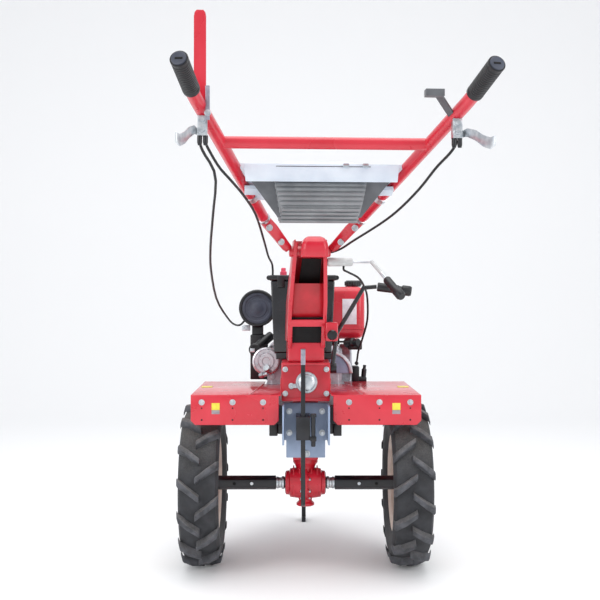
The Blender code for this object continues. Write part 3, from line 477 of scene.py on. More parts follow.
refined("hitch_bracket", 0.0016, hitch_paint)
refined("stake_sleeve", 0.0014, black_paint)
refined("depth_stake", 0.0012, black_paint)
low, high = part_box("depth_stake")
tip = slab("stake_bare_top", (low.x - 0.0004, low.y - 0.0004, high.z - 0.042), (high.x + 0.0004, high.y + 0.0004, high.z + 0.0004),
           bare_steel, 0.001)
rides(tip, "stake")
pin = turned("hitch_pin", [(-0.045, 0.0050), (-0.043, 0.0060), (0.034, 0.0060), (0.035, 0.0085), (0.042, 0.0085),
                           (0.044, 0.0070)], at(0.0195, -0.198, 0.415), (0, 0, 1), 20, black_paint)
nut = slab("hitch_nut", at(0.011, -0.207, 0.385), at(0.028, -0.190, 0.397), black_paint, 0.002)
rides(joined("hitch_pin_set", [pin, nut]), "chassis")
details = [bolt("hitch_bolt", at(0.003, -0.1053, 0.336), (0, -1, 0), 0.011)]
for x, z in ((-0.046, 0.455), (0.046, 0.455), (0.046, 0.395), (-0.046, 0.395)):
    details.append(bolt("hitch_bolt", at(x, -0.1053, z), (0, -1, 0), 0.010))
rides(joined("hitch_bolts", details), "chassis")
# The hitch holes are dark discs of painted shade.
holes = [turned("hitch_hole", [(0.0, 0.0075), (0.0004, 0.0070)], at(sign * 0.0645, -0.185, z), (sign, 0, 0), 20,
                painted_hollow_shade) for sign in (-1, 1) for z in (0.395, 0.455)]
rides(joined("hitch_holes", holes), "chassis")

# --- Fenders ---------------------------------------------------------------------------------------
# Folded sheet steel in red enamel, bolted to the gearbox: flat top, skirt behind, three screws and small
# drain holes. A blank yellow sticker and a grey one sit on each skirt, another on top.

SKIRT_Y = -0.180
SCREW_Z, DRAIN_Z, TOP_Z = 0.488, 0.440, 0.508

# Yellow vinyl sticker without print: flat and slightly satin.
yellow_vinyl = surface("yellow_vinyl_sticker", "d9c93a", "e6d84e", 20, 0.40, 0.8, 0.01)
# Grey vinyl sticker without print.
grey_vinyl = surface("grey_vinyl_sticker", "8d8288", "a0969b", 12, 0.45, 0.8, 0.01)

for side, sign in SIDES:
    refined(f"{side}_fender", 0.0012, red_sheet_painted_glare)
    screws, drains, marks = [], [], []
    for x in (0.117, 0.200, 0.284):
        screws.append(bolt(f"{side}_fender_screw", at(sign * x, SKIRT_Y, SCREW_Z), (0, -1, 0), 0.0095))
        # The drain holes are dark discs of painted shade.
        for z, reach in ((SCREW_Z - 0.016, 0.0022), (DRAIN_Z, 0.0026)):
            drains.append(turned(f"{side}_drain", [(0.0, reach), (0.0003, reach * 0.9)], at(sign * x, SKIRT_Y, z),
                                 (0, -1, 0), 14, painted_hollow_shade))
    rides(joined(f"{side}_fender_screws", screws), "chassis")
    rides(joined(f"{side}_fender_drains", drains), "chassis")
    x = sign * 0.246
    marks.append(slab(f"{side}_mark", at(x - 0.011, SKIRT_Y - 0.0006, 0.467), at(x + 0.011, SKIRT_Y - 0.0001, 0.486),
                      yellow_vinyl, 0.0002))
    marks.append(slab(f"{side}_mark", at(x - 0.011, SKIRT_Y - 0.0006, 0.456), at(x + 0.011, SKIRT_Y - 0.0001, 0.4665),
                      grey_vinyl, 0.0002))
    x = sign * 0.290
    marks.append(slab(f"{side}_mark", at(x - 0.016, 0.040, TOP_Z + 0.0001), at(x + 0.016, 0.085, TOP_Z + 0.0006),
                      yellow_vinyl, 0.0002))
    rides(joined(f"{side}_fender_stickers", marks), "chassis")
    crease = drawn(f"{side}_crease", [at(sign * 0.150, -0.178, TOP_Z + 0.0001), at(sign * 0.158, -0.178, TOP_Z + 0.0001),
                                      at(sign * 0.130, 0.150, TOP_Z + 0.0001), at(sign * 0.122, 0.150, TOP_Z + 0.0001),
                                      at(sign * 0.154, -0.178, TOP_Z + 0.0016), at(sign * 0.126, 0.150, TOP_Z + 0.0016)],
                   (), [(0, 4, 5, 3), (4, 1, 2, 5), (0, 1, 4), (3, 5, 2), (0, 3, 2, 1)], red_sheet_painted_glare)
    edit(outwards())
    rides(crease, "chassis")
    bush = slab(f"{side}_fender_rubber", at(sign * 0.0740 - 0.010, -0.176, 0.428), at(sign * 0.0740 + 0.010, -0.150, 0.478),
                seal_rubber, 0.006)
    rides(bush, "chassis")

# --- Frame, stand and engine ------------------------------------------------------------------------
# Black square-tube rails carry a single-cylinder diesel in die-cast aluminium: finned barrel block,
# starter cover with its rings, flywheel cowl with a thick rim, and a black muffler in front.

# Die-cast aluminium: pale lilac grey, granular, half dull.
cast_aluminium = surface("die_cast_aluminium", "a9a8b0", "c9c8d0", 15, 0.46, 1.2, 0.15, metallic=0.9)
# Machined aluminium: brighter and smoother.
bright_aluminium = surface("machined_aluminium", "c9c6cb", "e0dde2", 18, 0.30, 0.5, 0.03, metallic=0.9)

for node in ("left_frame_rail", "right_frame_rail", "left_frame_bracket", "right_frame_bracket", "stand_crossmember",
             "front_stand", "battery_tray"):
    refined(node, 0.002, black_paint)
refined("engine_block", 0.003, cast_aluminium)
refined("bell_housing", 0.002, cast_aluminium)
low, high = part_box("flywheel_cowl")
hub = Vector((low.x, (low.y + high.y) / 2, (low.z + high.z) / 2))
cowl = [turned("cowl_drum", [(0.0, 0.070), (0.004, 0.0715), (0.030, 0.0715), (0.036, 0.066), (0.036, 0.050), (0.032, 0.047),
                             (0.032, 0.014), (0.040, 0.012), (0.040, 0.0)], hub, (1, 0, 0), 56, cast_aluminium)]
# The vents are dark slots of painted shade laid on the drum.
for k in range(24):
    angle = math.tau * k / 24
    spoke = slab("cowl_vent", (0.0325, -0.0016, 0.020), (0.0345, 0.0016, 0.045), painted_hollow_shade, 0.0003)
    spoke.data.transform(Matrix.Translation(hub) @ Matrix.Rotation(angle, 4, "X"))
    cowl.append(spoke)
QUARTER_REACH = 0.070
for inner, depth, finish in ((0.0, 0.154, hitch_paint), (0.060, 0.150, bright_aluminium)):
    arc = [(QUARTER_REACH * math.cos(math.radians(a)), QUARTER_REACH * math.sin(math.radians(a))) for a in range(0, 91, 6)]
    back = [(inner * math.cos(math.radians(a)), inner * math.sin(math.radians(a))) for a in range(90, -1, -6)]
    outline = arc + (back if inner else [(0.0, 0.0)])
    plate = drawn("cowl_quarter", [at(0.076 + x, depth, 0.541 + z) for x, z in outline], (), [tuple(range(len(outline)))], finish)
    edit((bpy.ops.mesh.extrude_region_move, {"TRANSFORM_OT_translate": {"value": (0, 0.012, 0)}}),
         (bpy.ops.mesh.select_all, {"action": "SELECT"}), outwards())
    cowl.append(bevelled(plate, 0.0015))
stands_for(joined("flywheel_cowl_cast", cowl), "flywheel_cowl")
governor = [slab("governor_box", at(0.150, 0.240, 0.500), at(0.172, 0.290, 0.556), black_paint, 0.004),
            slab("governor_base", at(0.150, 0.250, 0.505), at(0.196, 0.280, 0.522), black_paint, 0.004),
            turned("governor_post", [(0.0, 0.008), (0.030, 0.008), (0.033, 0.005), (0.044, 0.005)], at(0.186, 0.262, 0.515),
                   (0.1, 0, 1), 18, black_paint),
            turned("cable_stop", [(0.0, 0.0060), (0.012, 0.0060), (0.014, 0.0045)], at(0.163, 0.2410, 0.566), (0, -1, 0), 16,
                   black_paint)]
rides(joined("governor_set", governor), "chassis")
low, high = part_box("engine_block")
fins = []
for k in range(9):
    z = low.z + 0.045 + 0.013 * k
    fins.append(slab("fin", (low.x + 0.010, high.y - 0.001, z), (high.x - 0.010, high.y + 0.006, z + 0.004), cast_aluminium))
    fins.append(slab("fin", (low.x - 0.006, low.y + 0.110, z), (low.x + 0.001, high.y - 0.020, z + 0.004), cast_aluminium))
rides(joined("cooling_fins", fins), "chassis")
sump = [bolt("sump_bolt", (low.x - 0.0005, low.y + 0.03 + 0.045 * k, low.z + 0.022), (-1, 0, 0), 0.010) for k in range(6)]
rides(joined("sump_bolts", sump), "chassis")
low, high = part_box("starter_motor")
centre = (low + high) / 2
reach = (high.z - low.z) / 2
motor = turned("motor_cover", [(0.0, reach * 0.93), (0.026, reach), (0.031, reach * 0.97), (0.033, reach * 0.88),
                               (0.0315, reach * 0.84), (0.034, reach * 0.80), (0.034, reach * 0.62), (0.0325, reach * 0.58),
                               (0.0355, reach * 0.52), (0.0355, reach * 0.30), (0.033, reach * 0.27), (0.033, 0.0)],
               (centre.x, high.y, centre.z), (0, -1, 0), 48, bright_aluminium)
stands_for(motor, "starter_motor")
screws = []
for k in range(6):
    angle = math.tau * (k + 0.3) / 6
    place = Vector((centre.x + reach * 0.71 * math.cos(angle), high.y - 0.034, centre.z + reach * 0.71 * math.sin(angle)))
    screws.append(bolt("motor_screw", place, (0, -1, 0), 0.006, washer=False))
rides(joined("motor_screws", screws), "chassis")
stands_for(turned("muffler_can", [(0.0, 0.030), (0.004, 0.044), (0.012, 0.047), (0.040, 0.048), (0.042, 0.0465),
                                  (0.120, 0.0465), (0.122, 0.048), (0.150, 0.047), (0.158, 0.044), (0.162, 0.030)],
                  at(-0.08, 0.526, 0.560), (1, 0, 0), 48, black_paint), "muffler")
port = slab("exhaust_port", at(-0.028, 0.464, 0.546), at(0.028, 0.500, 0.574), black_paint, 0.004)
rides(port, "chassis")

# --- Air cleaner ------------------------------------------------------------------------------------
# A black moulded canister with a thick rim and a blue-grey ringed lid towards the operator, on a bent
# intake duct with a round knob and a small zinc bracket that takes the throttle cable.

# Moulded black plastic: dark with a fine spark-eroded grain.
black_plastic = surface("moulded_black_plastic", "08090c", "13151b", 40, 0.38, 0.8, 0.04, coat=0.2)
# Blue-grey moulded lid: satin.
lid_plastic = surface("blue_grey_moulded_lid", "343845", "444958", 30, 0.45, 0.9, 0.05)

low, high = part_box("air_cleaner")
centre = Vector(((low.x + high.x) / 2, low.y, (low.z + high.z) / 2))
drum = turned("cleaner_drum", [(0.006, 0.046), (0.0, 0.050), (0.0, 0.055), (0.004, 0.058), (0.020, 0.058), (0.022, 0.0555),
                               (0.080, 0.0555), (0.086, 0.052), (0.088, 0.040)], centre, (0, 1, 0), 56, black_plastic)
face = turned("cleaner_lid", [(0.010, 0.050), (0.004, 0.050), (0.003, 0.048), (0.003, 0.040), (0.0045, 0.038),
                              (0.0045, 0.030), (0.003, 0.028), (0.003, 0.016), (0.002, 0.014), (0.002, 0.0)],
              centre, (0, 1, 0), 56, lid_plastic)
stands_for(joined("air_cleaner_can", [drum, face]), "air_cleaner")
refined("intake_duct", 0.005, black_plastic, segments=3)
knob = turned("intake_knob", [(0.0, 0.016), (0.004, 0.019), (0.016, 0.019), (0.020, 0.016), (0.020, 0.010),
                              (0.017, 0.009), (0.017, 0.0)], at(-0.152, 0.160, 0.614), (0, -1, 0), 28, black_plastic)
elbow = turned("intake_elbow", [(0.0, 0.012), (0.006, 0.014), (0.060, 0.014), (0.066, 0.012)],
               at(-0.148, 0.152, 0.618), (0.62, 0.30, 0.52), 24, black_plastic)
rides(joined("intake_elbow_set", [knob, elbow]), "chassis")
details = [slab("cable_bracket", at(-0.196, 0.228, 0.668), at(-0.170, 0.232, 0.686), zinc_steel),
           bolt("cable_screw", at(-0.183, 0.228, 0.677), (0, -1, 0), 0.008),
           slab("knob_plate", at(-0.166, 0.135, 0.606), at(-0.152, 0.1395, 0.618), zinc_steel, 0.001),
           turned("oil_fitting", [(0, 0.009), (0.012, 0.009), (0.014, 0.006), (0.03, 0.006)], at(-0.135, 0.140, 0.535),
                  (0.4, -0.3, 0.1), 18, zinc_steel),
           turned("fuel_fitting", [(0, 0.007), (0.014, 0.007), (0.015, 0.010), (0.024, 0.010)], at(-0.108, 0.120, 0.548),
                  (-0.2, -0.4, 0.3), 18, zinc_steel),
           bolt("rocker_bolt", at(-0.085, 0.1635, 0.612), (0, -1, 0), 0.012),
           bolt("rocker_bolt", at(-0.102, 0.1635, 0.530), (0, -1, 0), 0.012)]
rides(joined("engine_fittings", details), "chassis")

# --- Battery ----------------------------------------------------------------------------------------
# A glossy black tapered battery box under an overhanging lid with end clips and a red terminal cap.

# Glossy black plastic: polished mould, sharp reflections.
gloss_plastic = surface("glossy_black_plastic", "08090d", "12151d", 50, 0.24, 1.2, 0.03, coat=0.4)
# Soft red plastic cap.
cap_plastic = surface("soft_red_plastic", "d93a55", "e65670", 8, 0.45, 0.6, 0.03)

low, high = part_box("battery_lid")
BATTERY_SHARE = 0.93  # of the room that it stands in, from its left side
narrower = (Matrix.Translation((low.x, 0, 0)) @ Matrix.Scale(BATTERY_SHARE, 4, (1, 0, 0))
            @ Matrix.Translation((-low.x, 0, 0)))
refined("battery_box", 0.003, gloss_plastic).data.transform(narrower)
refined("battery_lid", 0.002, black_plastic).data.transform(narrower)
high.x = low.x + (high.x - low.x) * BATTERY_SHARE
details = [turned("lid_hinge", [(0.0, 0.006), (0.002, 0.007), (0.026, 0.007), (0.028, 0.006)],
                  (x, low.y + 0.004, (low.z + high.z) / 2), (0, 1, 0), 18, black_plastic) for x in (low.x, high.x)]
details += [slab("lid_clip", (x - 0.010, low.y - 0.003, low.z - 0.020), (x + 0.010, low.y + 0.002, high.z - 0.002),
                 black_plastic, 0.001) for x in (low.x + 0.035, high.x - 0.035)]
rides(joined("battery_lid_clips", details), "chassis")
cap = turned("terminal_cap", [(0.0, 0.010), (0.010, 0.010), (0.012, 0.007), (0.020, 0.007), (0.022, 0.005)],
             (low.x + 0.042, low.y + 0.045, high.z), (0, 0, 1), 20, cap_plastic)
rides(cap, "chassis")

# --- Fuel tank --------------------------------------------------------------------------------------
# Two pressed halves with big soft corners and a seam, red enamel, a black screw cap on a strip and one
# blank label on the side that faces the operator.

# White paper label without print.
label_paper = surface("blank_paper_label", "dcd3dc", "ece6ec", 18, 0.55, 0.6, 0.01)

low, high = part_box("fuel_tank")
low.z += 0.018
high.x -= 0.010
bpy.ops.object.select_all(action="DESELECT")
bpy.ops.mesh.primitive_cube_add(size=1, location=(0, 0, 0))
tank = bpy.context.active_object
tank.data.transform(Matrix.Translation((low + high) / 2) @ Matrix.Diagonal((*(high - low), 1)))
tank.data.materials.append(red_sheet_painted_glare)
bevelled(tank, 0.024, segments=6)
seam_z = low.z + 0.030
seam = slab("tank_seam", (low.x - 0.0015, low.y - 0.0015, seam_z), (high.x + 0.0015, high.y + 0.0015, seam_z + 0.004),
            red_sheet_painted_glare, 0.0014)
saddles = [slab("tank_saddle", (x - 0.012, low.y + 0.02, low.z - 0.0178), (x + 0.012, high.y - 0.02, low.z + 0.004), black_paint)
           for x in (low.x + 0.05, (low.x + high.x) / 2, high.x - 0.09)]
stands_for(joined("fuel_tank_shell", [tank, seam] + saddles), "fuel_tank")
label = slab("tank_label", (high.x - 0.070, low.y - 0.0009, low.z + 0.046), (high.x - 0.026, low.y - 0.0001, high.z - 0.038),
             label_paper, 0.0003)
rides(label, "chassis")
pump = [turned("pump_body", [(0.0, 0.013), (0.004, 0.015), (0.030, 0.015), (0.034, 0.011), (0.050, 0.011)],
               at(0.128, 0.190, 0.632), (0.2, -0.2, 0.02), 24, black_plastic),
        slab("pump_head", at(0.132, 0.165, 0.612), at(0.176, 0.195, 0.640), black_plastic, 0.004),
        slab("governor_arm", at(0.100, 0.160, 0.634), at(0.150, 0.163, 0.640), black_plastic, 0.001)]
rides(joined("fuel_pump", pump), "chassis")
low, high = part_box("fuel_cap")
centre = Vector(((low.x + high.x) / 2, (low.y + high.y) / 2, low.z))
ribs = []
cap = turned("cap_top", [(0.0, 0.024), (0.006, 0.026), (0.016, 0.026), (0.0197, 0.022), (0.0197, 0.0)], centre, (0, 0, 1), 40,
             black_plastic)
for k in range(20):
    angle = math.tau * k / 20
    spot = centre + Vector((0.0258 * math.cos(angle), 0.0258 * math.sin(angle), 0.004))
    ribs.append(turned("cap_rib", [(0.0, 0.0014), (0.012, 0.0014)], spot, (0, 0, 1), 8, black_plastic))
stands_for(joined("fuel_cap_knurled", [cap] + ribs), "fuel_cap")

# --- Levers beside the column -----------------------------------------------------------------------
# The gear lever is a flat black bar with a rod and a grip; the selector is a zinc tube through a pale
# guide, cranked down to its own black grip. Both grips are moulded with a collar at the end.

# Soft black rubber: deep black, slightly shiny.
grip_rubber = surface("soft_grip_rubber", "09090c", "15151a", 20, 0.42, 0.8, 0.06, coat=0.1)
# Pale moulded guide: off-white plastic.
guide_plastic = surface("pale_moulded_guide", "b9bcbc", "cdd0cf", 20, 0.5, 0.8, 0.03)

refined("gear_lever", 0.0010, black_paint, angle=50)
start, end = at(0.1980, -0.132, 0.8028), at(0.2915, -0.136, 0.790)
length = (end - start).length
grip = turned("gear_grip", [(0.0, 0.0115), (0.003, 0.0125), (length * 0.55, 0.0120), (length * 0.60, 0.0125),
                            (length * 0.64, 0.0105), (length * 0.70, 0.0105), (length * 0.74, 0.0140),
                            (length * 0.95, 0.0145), (length, 0.012)], start, end - start, 28, grip_rubber)
stands_for(grip, "gear_lever_grip")
refined("selector_lever", 0.0008, zinc_steel, angle=50)


def on_bar(x, y, z):
    """A place given in the handlebar's own turned frame: from the tilt hinge's middle, z above the floor."""
    joint = joints["handlebar_height"]
    hinge, along = Vector(joint["pos_m"]), Vector(joint["axis"])
    forward = Vector((-along.y, along.x, 0))
    return hinge + along * x + forward * y + Vector((0, 0, z - hinge.z))


guide = turned("selector_guide", [(0.0, 0.0115), (0.004, 0.0120), (0.062, 0.0110), (0.066, 0.0095)],
               on_bar(0.0495, 0.015, 0.868), on_bar(1, 0.015, 0.868) - on_bar(0, 0.015, 0.868), 28, guide_plastic)
rides(guide, "chassis")
crank = turned("selector_crank", [(-0.004, 0.0040), (-0.002, 0.0056), (0.048, 0.0056)], on_bar(0.1678, 0.015, 0.868),
               on_bar(0.2321, -0.0846, 0.775) - on_bar(0.1678, 0.015, 0.868), 20, guide_plastic)
rides(crank, "chassis")
start, end = on_bar(0.2005, 0.0127 - 0.0423, 0.8214), on_bar(0.2321, -0.0846, 0.775)
length = (end - start).length
grip = turned("selector_handle", [(0.0, 0.0095), (0.003, 0.011), (length * 0.6, 0.0105), (length * 0.66, 0.0130),
                                  (length * 0.92, 0.0130), (length, 0.010)], start, end - start, 28, grip_rubber)
stands_for(grip, "selector_grip")
knob = turned("lever_knob", [(0.0, 0.010), (0.004, 0.0135), (0.014, 0.0140), (0.018, 0.011), (0.019, 0.0)],
              at(0.0715, -0.1655, 0.671), (0, -1, 0), 28, black_plastic)
rides(knob, "chassis")

# --- Column -----------------------------------------------------------------------------------------
# A folded steel channel, open to the operator, that leans back from the gearbox to the tilt hinge: a
# boxed foot with a window, a cross plate, rolled edges, and a round-topped hood over the hinge.

# Red enamel inside the column, in its own shade.
red_inside = surface("red_enamel_in_shade", "b30f1e", "c81a2c", 50, 0.38, 1.6, 0.05, coat=0.3)

refined("handle_column", 0.0014, red_inside)
refined("column_base", 0.004, red_sheet_painted_glare, segments=3)


def sheet_plate(name, corners, thick, finish, bevel=0.001):
    """A flat plate through four or more corners, thickened towards the operator."""
    made = drawn(name, corners, (), [tuple(range(len(corners)))], finish)
    normal = (corners[1] - corners[0]).cross(corners[-1] - corners[0]).normalized()
    normal = normal if normal.y < 0 else -normal
    edit((bpy.ops.mesh.extrude_region_move, {"TRANSFORM_OT_translate": {"value": tuple(normal * thick)}}),
         (bpy.ops.mesh.select_all, {"action": "SELECT"}), outwards())
    return bevelled(made, bevel)


lower = [
    sheet_plate("column_apron", [on_bar(-0.049, 0.126, 0.598), on_bar(0.049, 0.126, 0.598),
                                 on_bar(0.047, 0.139, 0.637), on_bar(-0.047, 0.139, 0.637)], 0.003, red_sheet_painted_glare),
    sheet_plate("column_header", [on_bar(-0.050, 0.100, 0.694), on_bar(0.050, 0.100, 0.694),
                                  on_bar(0.050, 0.094, 0.713), on_bar(-0.050, 0.094, 0.713)], 0.004, red_sheet_painted_glare),
    slab("column_side_block", on_bar(0.0500, 0.085, 0.653), on_bar(0.0500, 0.085, 0.653) + Vector((0.034, 0.050, 0.052)),
         red_sheet_painted_glare, 0.004),
]
for side, sign in SIDES:
    lower.append(sheet_plate(f"{side}_column_post", [on_bar(sign * 0.040, 0.126, 0.634), on_bar(sign * 0.052, 0.126, 0.634),
                                                     on_bar(sign * 0.052, 0.098, 0.700), on_bar(sign * 0.040, 0.098, 0.700)],
                             0.003, red_sheet_painted_glare))
lower.append(sheet_plate("column_back", [on_bar(-0.046, 0.106, 0.716), on_bar(0.046, 0.106, 0.716),
                                         on_bar(0.043, 0.058, 0.812), on_bar(-0.043, 0.058, 0.812)], 0.002, red_inside))
rides(joined("column_foot_plates", lower), "chassis")
# The window, the gap and the upper opening are not cut: they are dark plates of painted shade.
dark = [
    sheet_plate("column_window", [on_bar(-0.041, 0.132, 0.636), on_bar(0.041, 0.132, 0.636),
                                  on_bar(0.041, 0.106, 0.696), on_bar(-0.041, 0.106, 0.696)], 0.0008, painted_hollow_shade, 0.0002),
    sheet_plate("column_gap", [on_bar(-0.0480, 0.098, 0.714), on_bar(0.0480, 0.098, 0.714),
                               on_bar(0.0480, 0.096, 0.719), on_bar(-0.0480, 0.096, 0.719)], 0.0008, painted_hollow_shade, 0.0002),
    sheet_plate("upper_window", [on_bar(-0.024, 0.092, 0.812), on_bar(0.034, 0.092, 0.812),
                                 on_bar(0.034, 0.034, 0.878), on_bar(-0.018, 0.034, 0.878)], 0.0008, painted_hollow_shade, 0.0002),
]
rides(joined("column_dark_openings", dark), "chassis")
edges = []
for side, sign in SIDES:
    rows = ((0.652, 0.130, 0.0535), (0.700, 0.101, 0.0530), (0.760, 0.060, 0.0520), (0.840, 0.014, 0.0475),
            (0.918, -0.031, 0.0425))
    lip = [on_bar(sign * half, y - 0.001, z) for z, y, half in rows]
    lip += [on_bar(sign * (half - 0.010), y - 0.001, z) for z, y, half in reversed(rows)]
    made = drawn(f"{side}_lip", lip, (), [(i, i + 1, len(lip) - 2 - i, len(lip) - 1 - i) for i in range(len(rows) - 1)],
                 red_sheet_painted_glare)
    edit((bpy.ops.mesh.extrude_region_move, {"TRANSFORM_OT_translate": {"value": (0, -0.0035, 0)}}),
         (bpy.ops.mesh.select_all, {"action": "SELECT"}), outwards())
    edges.append(bevelled(made, 0.0012))
rides(joined("column_rolled_edges", edges), "chassis")

# --- Handlebar --------------------------------------------------------------------------------------
# Bent round tube in red enamel: two arms from a yoke, a crossbar, zinc clamps where the tray hangs, and
# ribbed rubber grips with flat end caps.

TUBE_FOOT = Vector((0.121, -0.080, 0.971))
TUBE_HEAD = Vector((0.281, -0.630, 1.180))
TUBE_END = Vector((0.303, -0.742, 1.223))
TUBE_RADIUS, GRIP_RADIUS, GRIP_LENGTH = 0.0145, 0.0180, 0.108


def on_tube(sign, share):
    place = TUBE_FOOT.lerp(TUBE_HEAD, share)
    return on_bar(sign * place.x, place.y, place.z)


def pipe(name, points, radius, finish, sides=10):
    """A round tube through a list of places."""
    curve = bpy.data.curves.new(name, "CURVE")
    curve.dimensions = "3D"
    curve.bevel_depth = radius
    curve.bevel_resolution = sides
    curve.use_fill_caps = True
    spline = curve.splines.new("POLY")
    spline.points.add(len(points) - 1)
    for item, place in zip(spline.points, points):
        item.co = (*place, 1)
    made = bpy.data.objects.new(name, curve)
    bpy.context.scene.collection.objects.link(made)
    alone(made)
    bpy.ops.object.convert(target="MESH")
    made.data.materials.clear()
    made.data.materials.append(finish)
    edit((bpy.ops.mesh.remove_doubles, {"threshold": 0.00002}), outwards())
    bpy.ops.object.shade_smooth_by_angle(angle=math.radians(40))
    return made


for side, sign in SIDES:
    corners = [on_bar(sign * p.x, p.y, p.z) for p in (TUBE_FOOT, TUBE_HEAD, TUBE_END)]
    bend = []
    for k in range(9):
        share = k / 8
        before = corners[1].lerp(corners[0], 0.05 * (1 - share))
        after = corners[1].lerp(corners[2], 0.25 * share)
        bend.append(before.lerp(after, share))
    stands_for(pipe(f"{side}_bent_tube", [corners[0]] + bend + [corners[2]], TUBE_RADIUS, red_sheet_painted_glare), f"{side}_handle_tube")
    along = (corners[2] - corners[1]).normalized()
    end = corners[2] + along * 0.006
    start = end - along * GRIP_LENGTH
    profile = [(0.0, TUBE_RADIUS + 0.0005), (0.0, 0.0176), (0.005, 0.0180), (0.008, 0.0180)]
    for k in range(14):
        base = 0.011 + 0.0062 * k
        profile += [(base, 0.0166), (base + 0.0012, 0.0178), (base + 0.0040, 0.0178), (base + 0.0052, 0.0166)]
    profile += [(0.100, 0.0166), (0.1015, 0.0180), (0.1075, 0.0180), (0.1085, 0.0168)]
    stands_for(turned(f"{side}_ribbed_grip", profile, start, along, 32, grip_rubber), f"{side}_grip")
    cap = turned(f"{side}_cap", [(0.0, 0.0150), (0.0012, 0.0150), (0.0018, 0.0135), (0.0014, 0.0115), (0.0014, 0.0)], end + along * 0.0004,
                 along, 32, lid_plastic)
    # The slot in the end cap is a dark plate of painted shade.
    slot = slab(f"{side}_slot", (-0.0075, -0.0022, 0), (0.0075, 0.0022, 0.0006), painted_hollow_shade, 0.0002)
    slot.data.transform(Matrix.Translation(end + along * 0.0017) @ along.to_track_quat("Z", "Y").to_matrix().to_4x4())
    rides(joined(f"{side}_grip_cap", [cap, slot]), "handlebar")
    for share, reach in ((0.22, 0.020), (0.02, 0.012)):
        place = on_tube(sign, share)
        direction = on_tube(sign, 1) - on_tube(sign, 0)
        clamp = turned(f"{side}_clamp", [(0, 0.0150), (0.0005, 0.0168), (reach - 0.0005, 0.0168), (reach, 0.0150)], place,
                       direction, 32, zinc_steel)
        rides(clamp, "handlebar")
stands_for(pipe("cross_tube", [on_tube(-1, 0.68), on_tube(1, 0.68)], TUBE_RADIUS - 0.001, red_sheet_painted_glare), "crossbar")
HINGE_HALF, ARM_DEPTH = 0.055, 0.034
yoke = [turned("hinge_barrel", [(-HINGE_HALF, 0.012), (-HINGE_HALF + 0.002, 0.014), (HINGE_HALF - 0.002, 0.014),
                                (HINGE_HALF, 0.012)], on_bar(0, 0, 0.895), on_bar(1, 0, 0.895) - on_bar(0, 0, 0.895), 28,
               red_sheet_painted_glare)]
for side, sign in SIDES:
    rows = ((0.0545, 0.000, 0.9000, 0.0125), (0.0640, -0.012, 0.9080, 0.0155), (0.1000, -0.056, 0.950, 0.0185),
            (0.1265, -0.084, 0.9760, 0.0175))
    points = []
    for x, y, z, half in rows:
        for a, b in ((-1, -1), (1, -1), (1, 1), (-1, 1)):
            points.append(on_bar(sign * (x + a * half * 0.55), y + b * ARM_DEPTH / 2, z - a * half * 0.55))
    faces = [(0, 3, 2, 1), tuple(4 * (len(rows) - 1) + i for i in range(4))]
    for k in range(len(rows) - 1):
        faces += [(4 * k + i, 4 * k + (i + 1) % 4, 4 * k + 4 + (i + 1) % 4, 4 * k + 4 + i) for i in range(4)]
    made = drawn(f"{side}_yoke_arm", points, (), faces, red_sheet_painted_glare)
    edit(outwards())
    yoke.append(bevelled(made, 0.003))
    for x, y, z in ((0.078, -0.046, 0.918), (0.110, -0.086, 0.952)):
        yoke.append(bolt(f"{side}_yoke_bolt", on_bar(sign * x, y, z), on_bar(0, -1, 0) - on_bar(0, 0, 0), 0.010))
hood = []
for z, half, rear in ((0.878, 0.0365, -0.062), (0.900, 0.0355, -0.066), (0.918, 0.0320, -0.064), (0.928, 0.0260, -0.056),
                      (0.933, 0.0180, -0.044)):
    for a, y in ((-1, rear), (-0.72, rear - 0.007), (0.72, rear - 0.007), (1, rear), (1, 0.006), (-1, 0.006)):
        hood.append(on_bar(0.009 + a * half, y, z))
faces = [tuple(range(6)), tuple(24 + i for i in range(6))]
for k in range(4):
    faces += [(6 * k + i, 6 * k + (i + 1) % 6, 6 * k + 6 + (i + 1) % 6, 6 * k + 6 + i) for i in range(6)]
made = drawn("hood", hood, (), faces, red_sheet_painted_glare)
edit(outwards())
yoke.append(bevelled(made, 0.003, segments=3, angle=18))
stands_for(joined("yoke_and_hood", yoke), "handle_yoke")

# --- Tool tray --------------------------------------------------------------------------------------
# Vacuum-formed pale tray between the tubes with a low dome, a seam with two clips, and a bin below it whose walls are
# ribbed all round; the bin is painted grey and the tray's underside dark grey, as painted shade on the pale plastic.

# Moulded pale plastic: cool off-white, soft sheen.
white_plastic = surface("pale_moulded_plastic", "ccd8e4", "dbe6ef", 60, 0.40, 1.0, 0.04)
# Painted shade: the bin's grey and the under shell's dark grey stand for the pale plastic's undersides in shade; the
# same dark grey is also used on the throttle pad.
bin_painted_shade_grey = surface("pale_plastic_painted_grey_shade", "7c7f82", "8f9295", 40, 0.50, 1.0, 0.05)
dark_plastic_and_shade_paint = surface("dark_grey_plastic_and_painted_shade", "55575b", "66686c", 40, 0.55, 1.0, 0.05)

